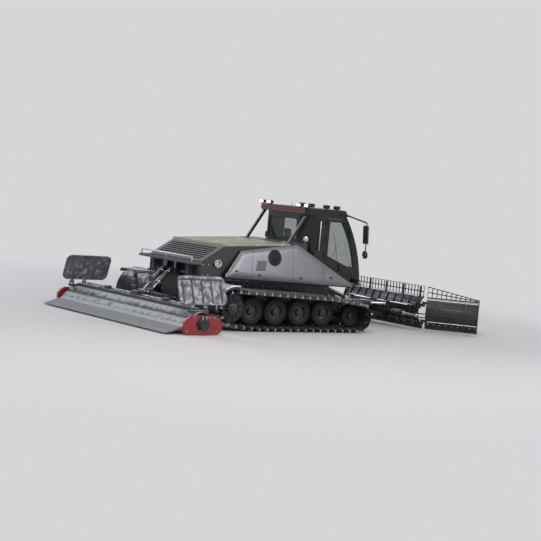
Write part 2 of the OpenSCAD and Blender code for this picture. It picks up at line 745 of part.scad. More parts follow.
// Blade linkage: lift frame, turn frame, tilt frame and moldboard
arm_h = 120;
module blade_lift_frame() {
    color(steel) {
        both_sides() {
            rod_y(lift_pin.x, lift_pin.y, lift_arm_y - 45, lift_arm_y + 45, 70);
            beam(lift_pin, [2800, turn_z], arm_h, lift_arm_y - 45, lift_arm_y + 45);
            block(2050, 2130, 0, lift_arm_y - 40, turn_z - 50, turn_z + 50);
            block(2700, 2820, 0, lift_arm_y + 45, turn_z - 60, turn_z + 60);
            lugs_side(blade_ram_eye.x, blade_ram_y, blade_ram_eye.y, -90, 110, gap = move_gap);
            block(2400, 2500, blade_ram_y - 70, lift_arm_y, turn_z - 40, turn_z + 40);
            block(1850, 1950, lift_arm_y, 545, turn_z, angle_ram_z - eye_w / 2 - lug_t - seat_gap + 5);
            block(1825, 1850, 420, 545, turn_z, angle_ram_z + eye_w / 2 + lug_t + seat_gap);
            block(1825, 1860, lift_arm_y, 545, turn_z, angle_ram_z - eye_w / 2 - lug_t - seat_gap + 5);
            lugs_plan(angle_ram_base.x, angle_ram_base.y, angle_ram_z, 180, 70);
        }
        block(2800, turn_x, -90, 90, turn_z - 60, turn_z + 60);
        rod_z(turn_x, 0, turn_z - 80, turn_z + 80, 110);
    }
}
module blade_turn_frame() {
    color(steel) {
        for (s = [-1, 1]) {
            z0 = s > 0 ? turn_z + 80 + seat_gap : turn_z - 120 - seat_gap;
            rod_z(turn_x, 0, z0, z0 + 40, 110);
            block(turn_x, 3240, -110, 110, z0, z0 + 40);
        }
        block(3160, 3260, -200, 200, turn_z - 120, turn_z + 120);
        rod_x(0, turn_z, 3250, tilt_x, 150);
        rod_x(0, turn_z, tilt_x - 5, tilt_x + 85, tilt_shaft_r);
        both_sides() {
            block(3170, 3250, 190, 760, turn_z - 60, turn_z + 60);
            block(3215, 3250, 640, 760, turn_z + 50, angle_ram_z + eye_w / 2 + lug_t + move_gap);
            lugs_plan(angle_ram_eye.x, angle_ram_eye.y, angle_ram_z, 0, 105, gap = move_gap);
        }
    }
}
module blade_tilt_frame() {
    color(steel) {
        difference() {
            union() {
                rod_x(0, turn_z, tilt_x + seat_gap, tilt_x + 70, 190);
                block(tilt_x + seat_gap, tilt_x + 70, -400, 400, 230, 400);
            }
            rod_x(0, turn_z, tilt_x - 1, tilt_x + 71, tilt_shaft_r + seat_gap);
        }
        both_sides() lugs_side(pitch_pin.x, lift_arm_y, pitch_pin.y, 180, 90, w = 90, r = 50);
    }
}
// Moldboard section: a hollow arc from the cutting edge up, with its centre in front
mold_c = [4230, 470];
blade_low_z = 60;
module mold_section(low, high) {
    intersection() {
        translate(mold_c) difference() {
            circle(mold_r + mold_t, $fn = 96);
            circle(mold_r, $fn = 96);
        }
        polygon([[3500, low], [4100, low], [4100, high], [3500, high]]);
    }
}
function mold_x(z) = mold_c.x - sqrt(pow(mold_r, 2) - pow(z - mold_c.y, 2));
screen_x = mold_x(blade_top_z);
edge_x = mold_x(blade_low_z + 20);
// Screen over a board: posts and a grid of square openings, between two lengths
module screen(y0, y1, top0, top1) {
    cols = round((y1 - y0) / 115);
    step = (y1 - y0) / cols;
    translate([screen_x - 22, 0, 0]) rotate([90, 0, 90]) linear_extrude(14) difference() {
        polygon([[y0, blade_top_z - 20], [y1, blade_top_z - 20], [y1, top1], [y0, top0]]);
        for (k = [0:cols - 1]) {
            y = y0 + (k + 0.5) * step;
            tall = top0 + (top1 - top0) * (k + (top1 < top0 ? 1 : 0)) / cols - blade_top_z;
            for (row = [0, 1]) translate([y - step / 2 + 11, blade_top_z + 12 + row * tall / 2])
                square([step - 22, tall / 2 - 24]);
        }
    }
}
end_gap = 75;
beam_z = [330, 600];
beam_inset = 185;
post_inset = 105;
module moldboard() {
    half = blade_half_w - end_gap;
    color(dark) {
        slab(-half, half) mold_section(blade_low_z, blade_top_z);
        slab(-half, half) polygon([[edge_x - 30, blade_low_z - 10], [edge_x + 25, blade_low_z - 10],
            [edge_x + 5, blade_low_z + 150], [edge_x - 60, blade_low_z + 150]]);
        block(3560, 3650, beam_inset - half, half - beam_inset, beam_z[0], beam_z[1]);
        screen(-half, half, screen_top_z, screen_top_z);
        rod_y(screen_x - 15, blade_top_z, -half, half, 26);
        for (k = [-2:2]) {
            y = k * (half - post_inset) / 2;
            block(screen_x - 60, screen_x - 20, y - 20, y + 20, blade_top_z - 10, screen_top_z - 20);
        }
        both_sides() {
            rod_y(pitch_pin.x, pitch_pin.y, lift_arm_y - 45, lift_arm_y + 45, 50);
            block(pitch_pin.x, 3600, lift_arm_y - 45, lift_arm_y + 45, pitch_pin.y - 50, pitch_pin.y + 90);
            for (z = [230, 680]) {
                rod_z(wing_pin_x, blade_half_w, z - 60, z - seat_gap / 2, 42);
                block(wing_pin_x - 42, wing_pin_x - 10, half - 60, blade_half_w, z - 60, z - seat_gap / 2);
            }
            block(3660, wing_pin_x - 10, half - 60, half, 170, 290);
            block(3655, wing_pin_x - 10, half - 60, half, 560, 690);
            lugs_plan(wing_ram_base.x, wing_ram_base.y, wing_ram_z, 0, 90);
        }
    }
}
// Wing, built straight out from its hinge and then folded forward
module wing() {
    translate([wing_pin_x, blade_half_w, 0]) rotate(-wing_fold) translate([-wing_pin_x, 0, 0]) {
        slab(end_gap, wing_len) mold_section(blade_low_z, blade_top_z - 60);
        slab(end_gap, wing_len) polygon([[edge_x - 30, blade_low_z - 10], [edge_x + 25, blade_low_z - 10],
            [edge_x + 5, blade_low_z + 150], [edge_x - 60, blade_low_z + 150]]);
        screen(end_gap, wing_len, screen_top_z, 905);
        rod_y(screen_x - 15, blade_top_z - 60, end_gap, wing_len, 24);
        slab(wing_len - 30, wing_len) polygon([
            [edge_x - 60, blade_low_z - 10], [edge_x + 60, blade_low_z - 10],
            [screen_x + 60, blade_top_z], [screen_x - 60, blade_top_z], [3640, mold_c.y]]);
        block(3610, 3650, end_gap, wing_len - 20, 420, 520);
        for (z = [230, 680]) {
            rod_z(wing_pin_x, 0, z + seat_gap / 2, z + 60, 42);
            block(wing_pin_x - 42, wing_pin_x - 10, 0, end_gap + 60, z + seat_gap / 2, z + 60);
            block(3640, wing_pin_x - 10, end_gap, end_gap + 60, z - 60, z + 60);
        }
    }
    wing_horn();
}
// Horn behind the hinge that the wing's ram pulls
module wing_horn() {
    lugs_plan(wing_ram_eye.x, wing_ram_eye.y, wing_ram_z, 23, 275, gap = move_gap);
}
module wing_left() {
    color(dark) wing();
}
module wing_right() {
    color(dark) mirror([0, 1, 0]) wing();
}

// Rams: rest ends, barrel length and rod length
module blade_lift_barrels() {
    color(steel) both_sides() ram_barrel(
        [blade_ram_base.x, blade_ram_y, blade_ram_base.y],
        [blade_ram_eye.x, blade_ram_y, blade_ram_eye.y], 720, false);
}
module blade_lift_rods() {
    color(silver) both_sides() ram_rod(
        [blade_ram_eye.x, blade_ram_y, blade_ram_eye.y],
        [blade_ram_base.x, blade_ram_y, blade_ram_base.y], 700, false);
}
module tiller_lift_barrels() {
    color(steel) both_sides() ram_barrel(
        [tiller_ram_base.x, tiller_ram_y, tiller_ram_base.y],
        [tiller_ram_eye.x, tiller_ram_y, tiller_ram_eye.y], 440, false);
}
module tiller_lift_rods() {
    color(silver) both_sides() ram_rod(
        [tiller_ram_eye.x, tiller_ram_y, tiller_ram_eye.y],
        [tiller_ram_base.x, tiller_ram_y, tiller_ram_base.y], 430, false);
}
module angle_barrel() {
    ram_barrel([angle_ram_base.x, angle_ram_base.y, angle_ram_z],
        [angle_ram_eye.x, angle_ram_eye.y, angle_ram_z], 850, true);
}
module angle_rod() {
    ram_rod([angle_ram_eye.x, angle_ram_eye.y, angle_ram_z],
        [angle_ram_base.x, angle_ram_base.y, angle_ram_z], 880, true);
}
module wing_barrel() {
    ram_barrel([wing_ram_base.x, wing_ram_base.y, wing_ram_z],
        [wing_ram_eye.x, wing_ram_eye.y, wing_ram_z], 540, true);
}
module wing_rod() {
    ram_rod([wing_ram_eye.x, wing_ram_eye.y, wing_ram_z],
        [wing_ram_base.x, wing_ram_base.y, wing_ram_z], 615, true);
}
module angle_barrel_left() {
    color(steel) angle_barrel();
}
module angle_barrel_right() {
    color(steel) mirror([0, 1, 0]) angle_barrel();
}
module angle_rod_left() {
    color(silver) angle_rod();
}
module angle_rod_right() {
    color(silver) mirror([0, 1, 0]) angle_rod();
}
module wing_barrel_left() {
    color(steel) wing_barrel();
}
module wing_barrel_right() {
    color(steel) mirror([0, 1, 0]) wing_barrel();
}
module wing_rod_left() {
    color(silver) wing_rod();
}
module wing_rod_right() {
    color(silver) mirror([0, 1, 0]) wing_rod();
}

// Tiller: lift frame, housing with rotor, finisher mats and folded side finishers
tower_top_z = 1150;
roll_shaft_r = 50;
bearing_end_x = roll_x + 100;
module tiller_lift_frame() {
    color(steel) {
        both_sides() {
            rod_y(tiller_pin.x, tiller_pin.y, tiller_arm_y - 45, tiller_arm_y + 45, 70);
            beam(tiller_pin, [-3630, roll_z], 110, tiller_arm_y - 42, tiller_arm_y + 42);
            lugs_side(tiller_ram_eye.x, tiller_ram_y, tiller_ram_eye.y, -90, 62, gap = move_gap);
            beam([-3640, roll_z + 20], [-3720, tower_top_z], 80, tiller_arm_y - 30, tiller_arm_y + 30);
            beam([-3690, tower_top_z - 12], [-4110, tower_top_z - 52], 50,
                tiller_arm_y - 28, tiller_arm_y + 28);
        }
        block(bearing_end_x - 5, -3560, -tiller_arm_y - 40, tiller_arm_y + 40, roll_z - 50, roll_z - 14);
        block(bearing_end_x - 3, -3603, -97, 97, roll_z - 47, roll_z + 50);
        difference() {
            rod_x(0, roll_z, roll_x + seat_gap, bearing_end_x, 110);
            rod_x(0, roll_z, roll_x - 1, bearing_end_x - 10, roll_shaft_r + seat_gap);
        }
        block(-4100, -3710, -tiller_arm_y, tiller_arm_y, tower_top_z - 22, tower_top_z + 6);
    }
}
cover_r = 235;
cover_t = 22;
module tiller_housing() {
    color(steel) {
        slab(-tiller_half_w, tiller_half_w) translate([rotor_x, rotor_z]) intersection() {
            difference() {
                circle(cover_r + cover_t, $fn = 96);
                circle(cover_r, $fn = 96);
            }
            polygon([[-400, -20], [-400, 400], [400, 400], [400, -20]]);
        }
        block(rotor_x - 90, rotor_x + 90, -fold_y + 80, fold_y - 80, rotor_z + cover_r + 10, 560);
        rod_x(0, roll_z, roll_x - 70, roll_x, 110);
        rod_x(0, roll_z, roll_x - 5, bearing_end_x - 15, roll_shaft_r);
        for (y = fin_lug_y) {
            rod_y(fin_pin.x, fin_pin.y, y - 25, y + 25, 14);
            block(fin_pin.x, rotor_x - cover_r + 8, y - 25, y + 25, fin_pin.y - 10, fin_pin.y + 10);
        }
        block(rotor_x - 80, roll_x - 60, -120, 120, 550, roll_z + 60);
        both_sides() {
            block(rotor_x - 60, rotor_x + 60, 1180, 1320, 550, 640);
            block(rotor_x - 260, rotor_x + 200, fold_y - 70, fold_y + 60,
                rotor_z + cover_r - 10, fold_z - 60);
            for (x = fold_x, side = [-1, 1]) {
                x0 = x + side * (40 + seat_gap) - 10;
                block(x0, x0 + 20, fold_y - 26, fold_y + 26, fold_z - 70, fold_z);
                rod_x(fold_y, fold_z, x0, x0 + 20, 26);
            }
        }
    }
}
plate_reach = 490;
plate_low_z = 20;
plate_top_z = rotor_z + 185;
plate_t = 50;
module tiller_end_plates() {
    back = rotor_x - plate_reach;
    front = rotor_x + plate_reach + 10;
    color(red) both_sides() slab(tiller_half_w + seat_gap, tiller_half_w + plate_t) polygon([
        [back, plate_low_z + 40], [back + 60, plate_low_z], [front - 90, plate_low_z],
        [front, plate_low_z + 70], [front, rotor_z + 55], [front - 170, plate_top_z],
        [back + 160, plate_top_z], [back, rotor_z + 55]]);
}
// The motors that drive the rotor, bolted to the end plates
motor_r = 120;
motor_len = 90;
motor_flange_r = 150;
motor_flange_t = 20;
module tiller_motors() {
    plate_out = tiller_half_w + plate_t;
    color(dark) both_sides() {
        rod_y(rotor_x, rotor_z, plate_out + seat_gap, plate_out + motor_flange_t, motor_flange_r);
        rod_y(rotor_x, rotor_z, plate_out + seat_gap, plate_out + motor_len, motor_r);
    }
}
rotor_rings = 14;
ring_inset = 140;
ring_t = 18;
module tiller_rotor() {
    color(steel) {
        rod_y(rotor_x, rotor_z, -tiller_half_w, tiller_half_w, 100);
        for (k = [0:rotor_rings - 1]) {
            y = (2 * k / (rotor_rings - 1) - 1) * (tiller_half_w - ring_inset);
            slab(y - ring_t / 2, y + ring_t / 2) translate([rotor_x, rotor_z]) rotate(20 * k)
                circle(rotor_r, $fn = 6);
        }
    }
}
module finisher() {
    half = tiller_half_w - 60;
    color(dark) difference() {
        union() {
            rod_y(fin_pin.x, fin_pin.y, -half, half, 14);
            slab(-half, half) polygon([
                [fin_pin.x - 5, fin_pin.y - 10], [fin_pin.x - 5, fin_pin.y + 10], [-4330, 170],
                [finisher_rear_x, 46], [finisher_rear_x, 22], [-4320, 130]]);
        }
        for (y = fin_lug_y) block(fin_pin.x - 30, fin_pin.x + 30, y - 25 - seat_gap, y + 25 + seat_gap,
            fin_pin.y - 40, fin_pin.y + 40);
    }
}
side_fin_len = 700;
module side_finisher() {
    translate([0, fold_y, fold_z]) rotate([fold_lean, 0, 0]) {
        slab(-15, 15) rounded(-4350, -3120, 60, side_fin_len, 140);
        for (x = fold_x) block(x - 30, x + 30, -15, 15, 0, 100);
        for (x = fold_x) rod_x(0, 0, x - 30, x + 30, 26);
    }
}
module side_finisher_left() {
    color(steel) side_finisher();
}
module side_finisher_right() {
    color(steel) mirror([0, 1, 0]) side_finisher();
}

chassis_frame();
side_sills();
wheel_axles();
road_wheels();
drive_sprockets();
track_left();
track_right();
engine_block();
engine_housing();
side_panels();
rear_deck();
mudguards();
cab_shell();
cab_roof();
cab_glass();
seats();
console();
mirrors();
work_lights();
rollover_struts();
handrails();
hood_lid();
door_left();
door_right();
door_glass_left();
door_glass_right();
blade_lift_frame();
blade_lift_barrels();
blade_lift_rods();
blade_turn_frame();
blade_tilt_frame();
moldboard();
wing_left();
wing_right();
angle_barrel_left();
angle_barrel_right();
angle_rod_left();
angle_rod_right();
wing_barrel_left();
wing_barrel_right();
wing_rod_left();
wing_rod_right();
tiller_lift_frame();
tiller_lift_barrels();
tiller_lift_rods();
tiller_housing();
tiller_end_plates();
tiller_motors();
tiller_rotor();
finisher();
side_finisher_left();
side_finisher_right();
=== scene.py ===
import math

import bpy
import bmesh
from mathutils import Matrix, Vector


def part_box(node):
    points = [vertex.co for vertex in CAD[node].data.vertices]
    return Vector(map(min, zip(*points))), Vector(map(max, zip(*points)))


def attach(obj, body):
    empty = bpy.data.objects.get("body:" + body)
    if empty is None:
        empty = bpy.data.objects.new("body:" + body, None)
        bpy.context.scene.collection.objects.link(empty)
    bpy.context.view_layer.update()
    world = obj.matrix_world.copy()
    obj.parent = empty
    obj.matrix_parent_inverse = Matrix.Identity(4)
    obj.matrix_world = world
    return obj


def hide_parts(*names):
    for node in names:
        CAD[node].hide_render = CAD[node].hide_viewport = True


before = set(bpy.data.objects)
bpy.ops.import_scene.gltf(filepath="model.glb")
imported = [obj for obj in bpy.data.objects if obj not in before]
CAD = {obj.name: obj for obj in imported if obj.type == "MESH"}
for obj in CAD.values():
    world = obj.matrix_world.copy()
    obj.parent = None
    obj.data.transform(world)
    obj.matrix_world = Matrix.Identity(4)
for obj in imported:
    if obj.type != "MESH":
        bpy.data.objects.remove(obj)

bl_info = {
    "name": "Piste groomer finishes",
    "version": (1, 0, 0),
    "blender": (4, 5, 0),
    "location": "3D View > Sidebar > Groomer",
    "description": "Finishes and small parts over the packed model of a piste groomer",
    "category": "Add Mesh",
}

MM = 0.001
X, Y, Z = range(3)
LOW, HIGH = range(2)
SIDES = (("left", 1), ("right", -1))


def linear(code):
    """An sRGB hex colour as linear red, green and blue."""
    parts = [int(code[k:k + 2], 16) / 255 for k in (1, 3, 5)]
    return [p / 12.92 if p <= 0.04045 else ((p + 0.055) / 1.055) ** 2.4 for p in parts]


def colour(name, description, code):
    """A colour in the sidebar."""
    return bpy.props.FloatVectorProperty(name=name, description=description, subtype="COLOR", min=0, max=1,
                                         default=linear(code))


def length(name, description, default, low, high, unit="LENGTH"):
    """A length in the sidebar."""
    return bpy.props.FloatProperty(name=name, description=description, default=default, min=low, max=high,
                                   unit=unit)


class GroomerColours(bpy.types.PropertyGroup):
    panel: colour("Side panels", "Metallic paint of the side panels", "#77767a")
    lid: colour("Engine lid", "Powder coat of the lid over the engine", "#a09f88")
    housing: colour("Engine housing", "Dark paint of the engine housing", "#242722")
    cab: colour("Cab", "Gloss paint of the cab and its doors", "#0b0c0d")
    steel: colour("Steelwork", "Satin paint of the chassis and the blade", "#17181b")
    tiller: colour("Tiller", "Paint of the tiller and its lift frame", "#3b3e42")
    end_plate: colour("End plates", "Red paint of the tiller's end plates", "#8a171b")
    mat: colour("Finisher mats", "Cast polyurethane of the finisher mats", "#7c7f83")
    floor: colour("Floor", "Pale floor under the machine", "#dedee0")
    backdrop: colour("Backdrop", "Plain colour behind the machine and of the floor far away", "#d6d6d9")


class GroomerSizes(bpy.types.PropertyGroup):
    edge: length("Folded edge", "Radius of the folded edges of the sheet metal", 0.006, 0.001, 0.02)
    cleat_tooth: length("Cleat tooth", "Height of the teeth along a cleat's tip", 0.016, 0.005, 0.03)
    gasket: length("Window gasket", "Radius of the rubber round a window", 0.011, 0.005, 0.02)
    frost: bpy.props.FloatProperty(
        name="Powder snow", description="How much powder snow lies on the tiller, the deck and the mudguards",
        default=0.75, min=0, max=1, subtype="FACTOR")
    lens: length("Camera lens", "Focal length of the camera on a 36 mm frame", 100, 30, 200, unit="CAMERA")


# Places taken from the CAD pieces, in millimetres

def reach(node, axis, end):
    """How far a CAD piece reaches along an axis, to a tenth of a millimetre; end is LOW or HIGH."""
    return round(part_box(node)[end][axis] / MM, 1)


def middle(node, axis):
    """Where a CAD piece's middle lies along an axis."""
    return (reach(node, axis, LOW) + reach(node, axis, HIGH)) / 2


SPROCKET = middle("drive_sprockets", X), middle("drive_sprockets", Z)
SPROCKET_OUT = reach("drive_sprockets", Y, HIGH)
TRACK_IN, TRACK_OUT = reach("track_left", Y, LOW), reach("track_left", Y, HIGH)
# half a millimetre off the sill, so that no two faces coincide
SILL_SKIN = reach("side_sills", Y, HIGH) + 0.5
HOUSING_OUT = reach("engine_housing", Y, HIGH)
ROOF_TOP = reach("cab_roof", Z, HIGH)
ROTOR = middle("tiller_rotor", X), middle("tiller_rotor", Z)
PLATE_OUT = reach("tiller_end_plates", Y, HIGH)
MAT_HALF_W = reach("finisher", Y, HIGH) - 2

# Places as in the part's source, in millimetres

LAMP_WELL = (-2420, HOUSING_OUT, 1440)
PANEL_FOOT = (0, 1250, 1040)
PANEL_LEAN = 6.5
WING_HINGE = (3740, 1480, 0)
WING_FOLD = -42.4
SIDE_FINISHER_HINGE = (0, 2620, 585)
SIDE_FINISHER_LEAN = 20
# the two cheeks of a lift frame's fork on the machine's left, and the way out of each
CHEEKS = ((285, -1), (375, 1))


# Materials

# A Mix node's sockets by place: colours are 6 and 7 in and 2 out, plain values 2 and 3 in and 0 out
COLOUR_A, COLOUR_B, COLOUR_OUT = 6, 7, 2
VALUE_A, VALUE_B, VALUE_OUT = 2, 3, 0


def put(tree, kind, values=None, links=None, **settings):
    """A new node with its settings, its input values and its links."""
    made = tree.nodes.new("ShaderNode" + kind)
    for key, value in settings.items():
        setattr(made, key, value)
    for key, value in (values or {}).items():
        made.inputs[key].default_value = value
    for key, source in (links or {}).items():
        tree.links.new(source, made.inputs[key])
    return made


def shade(tone, factor):
    return [min(1.0, c * factor) for c in tone] + [1.0]


def rub_edges(tree, place, colour, worn):
    """Paint rubbed off along the edges, in patches: the new colour, and how metallic each spot is."""
    soft = put(tree, "Bevel", values={"Radius": 0.007}, samples=3)
    flat = put(tree, "NewGeometry")
    turn = put(tree, "VectorMath", operation="DOT_PRODUCT",
               links={0: soft.outputs["Normal"], 1: flat.outputs["Normal"]})
    edge = put(tree, "MapRange", values={"From Min": 0.99, "From Max": 0.88, "To Min": 0, "To Max": 1},
               links={"Value": turn.outputs["Value"]})
    chips = put(tree, "TexNoise", values={"Scale": 14, "Detail": 6, "Roughness": 0.7},
                links={"Vector": place.outputs["Object"]})
    patch = put(tree, "MapRange", values={"From Min": 0.46, "From Max": 0.6, "To Min": 0, "To Max": 0.85},
                links={"Value": chips.outputs["Fac"]})
    rub = put(tree, "Math", operation="MULTIPLY",
              links={0: edge.outputs["Result"], 1: patch.outputs["Result"]})
    bared = put(tree, "Mix", data_type="RGBA", values={COLOUR_B: worn + [1.0]},
                links={0: rub.outputs["Value"], COLOUR_A: colour})
    return bared.outputs[COLOUR_OUT], rub.outputs["Value"]


def lay_snow(tree, place, colour, gloss, frost, drift):
    """Powder snow on what faces up, in clumps; drift sets how much clings to upright faces."""
    up = put(tree, "SeparateXYZ", links={"Vector": place.outputs["Normal"]})
    clumps = put(tree, "TexNoise", values={"Scale": 9, "Detail": 8, "Roughness": 0.65},
                 links={"Vector": place.outputs["Object"]})
    lying = put(tree, "MapRange", values={"From Min": 0.1, "From Max": 0.85, "To Min": drift, "To Max": 0.28},
                links={"Value": up.outputs["Z"]})
    total = put(tree, "Math", operation="ADD", links={0: clumps.outputs["Fac"], 1: lying.outputs["Result"]})
    cover = put(tree, "MapRange", values={"From Min": 0.5, "From Max": 0.66, "To Min": 0, "To Max": frost},
                links={"Value": total.outputs["Value"]})
    snowed = put(tree, "Mix", data_type="RGBA", values={COLOUR_B: linear("#c6ccd6") + [1.0]},
                 links={0: cover.outputs["Result"], COLOUR_A: colour})
    dull = put(tree, "Mix", data_type="FLOAT", values={VALUE_B: 0.85},
               links={0: cover.outputs["Result"], VALUE_A: gloss})
    return snowed.outputs[COLOUR_OUT], dull.outputs[VALUE_OUT]


def surface(name, tone, mottle=0.1, mottle_mm=350, stretch=(1, 1, 1), rough=0.5, rough_spread=0.08,
            grain_mm=6, grain=0.15, relief=None, worn=None, frost=0.0, drift=-0.34, **shader):
    """A material: mottled tone, uneven gloss and grain; worn edges, a relief and powder snow where asked."""
    made = bpy.data.materials.new(name)
    made.use_nodes = True
    tree = made.node_tree
    tree.nodes.clear()
    place = put(tree, "TexCoord")
    laid = put(tree, "Mapping", values={"Scale": stretch}, links={"Vector": place.outputs["Object"]})
    clouds = put(tree, "TexNoise", values={"Scale": 1000 / mottle_mm, "Detail": 6, "Roughness": 0.6},
                 links={"Vector": laid.outputs["Vector"]})
    grains = put(tree, "TexNoise", values={"Scale": 1000 / grain_mm, "Detail": 2},
                 links={"Vector": laid.outputs["Vector"]})
    tones = put(tree, "ValToRGB", links={"Fac": clouds.outputs["Fac"]})
    for stop, position, factor in zip(tones.color_ramp.elements, (0.3, 0.7), (1 - mottle, 1 + mottle)):
        stop.position = position
        stop.color = shade(tone, factor)
    colour = tones.outputs["Color"]
    gloss = put(tree, "MapRange", values={"From Min": 0.3, "From Max": 0.7, "To Min": rough - rough_spread,
                                          "To Max": rough + rough_spread},
                links={"Value": clouds.outputs["Fac"]}).outputs["Result"]
    height = grains.outputs["Fac"]
    if relief:
        height = relief(tree, laid.outputs["Vector"], height)
    bump = put(tree, "Bump", values={"Strength": grain, "Distance": 0.003}, links={"Height": height})
    metal = None
    if worn:
        colour, metal = rub_edges(tree, place, colour, worn)
    if frost:
        colour, gloss = lay_snow(tree, place, colour, gloss, frost, drift)
    skin = put(tree, "BsdfPrincipled", links={"Base Color": colour, "Roughness": gloss,
                                              "Normal": bump.outputs["Normal"]})
    for key, value in shader.items():
        skin.inputs[key.replace("_", " ").title().replace("Ior", "IOR")].default_value = value
    if metal is not None:
        tree.links.new(metal, skin.inputs["Metallic"])
    put(tree, "OutputMaterial", links={"Surface": skin.outputs["BSDF"]})
    return made


def wave_along(tree, thread, spacing_mm):
    """A sine wave along one coordinate, a full turn every spacing_mm."""
    wave = put(tree, "Math", operation="MULTIPLY", values={1: 2 * math.pi / (spacing_mm * MM)},
               links={0: thread})
    return put(tree, "Math", operation="SINE", links={0: wave.outputs["Value"]}).outputs["Value"]


def lozenges(tree, at, grain):
    """Raised lozenges of a chequer plate, 60 mm apart along both diagonals."""
    parts = put(tree, "SeparateXYZ", links={"Vector": at})
    both = []
    for sign in (1, -1):
        turned = put(tree, "Math", operation="MULTIPLY_ADD", values={1: sign},
                     links={0: parts.outputs["Y"], 2: parts.outputs["X"]})
        both.append(wave_along(tree, turned.outputs["Value"], 120))
    cross = put(tree, "Math", operation="MULTIPLY", links={0: both[0], 1: both[1]})
    lump = put(tree, "Math", operation="MULTIPLY", values={1: 6}, links={0: cross.outputs["Value"]})
    return put(tree, "Math", operation="ADD", links={0: lump.outputs["Value"], 1: grain}).outputs["Value"]


def ribs(tree, at, grain):
    """Shallow ribs across the mats, 55 mm apart."""
    parts = put(tree, "SeparateXYZ", links={"Vector": at})
    rise = wave_along(tree, parts.outputs["Y"], 55)
    lump = put(tree, "Math", operation="MULTIPLY", values={1: 2.5}, links={0: rise})
    return put(tree, "Math", operation="ADD", links={0: lump.outputs["Value"], 1: grain}).outputs["Value"]


def weave(tree, at, grain):
    """Plain weave, drawn at 12 mm because the real 1 mm thread is too fine to show."""
    parts = put(tree, "SeparateXYZ", links={"Vector": at})
    along = put(tree, "Math", operation="ADD", links={0: parts.outputs["X"], 1: parts.outputs["Z"]})
    rises = [wave_along(tree, thread, 12) for thread in (parts.outputs["Y"], along.outputs["Value"])]
    cross = put(tree, "Math", operation="MULTIPLY", links={0: rises[0], 1: rises[1]})
    return put(tree, "Math", operation="ADD", links={0: cross.outputs["Value"], 1: grain}).outputs["Value"]


def glow(name, code, strength):
    """A lit lamp lens: it shows as a white face without lighting the machine much."""
    made = surface(name, linear(code), mottle=0.02, rough=0.2, grain=0.05)
    skin = next(n for n in made.node_tree.nodes if n.type == "BSDF_PRINCIPLED")
    skin.inputs["Emission Color"].default_value = linear(code) + [1.0]
    skin.inputs["Emission Strength"].default_value = strength
    return made


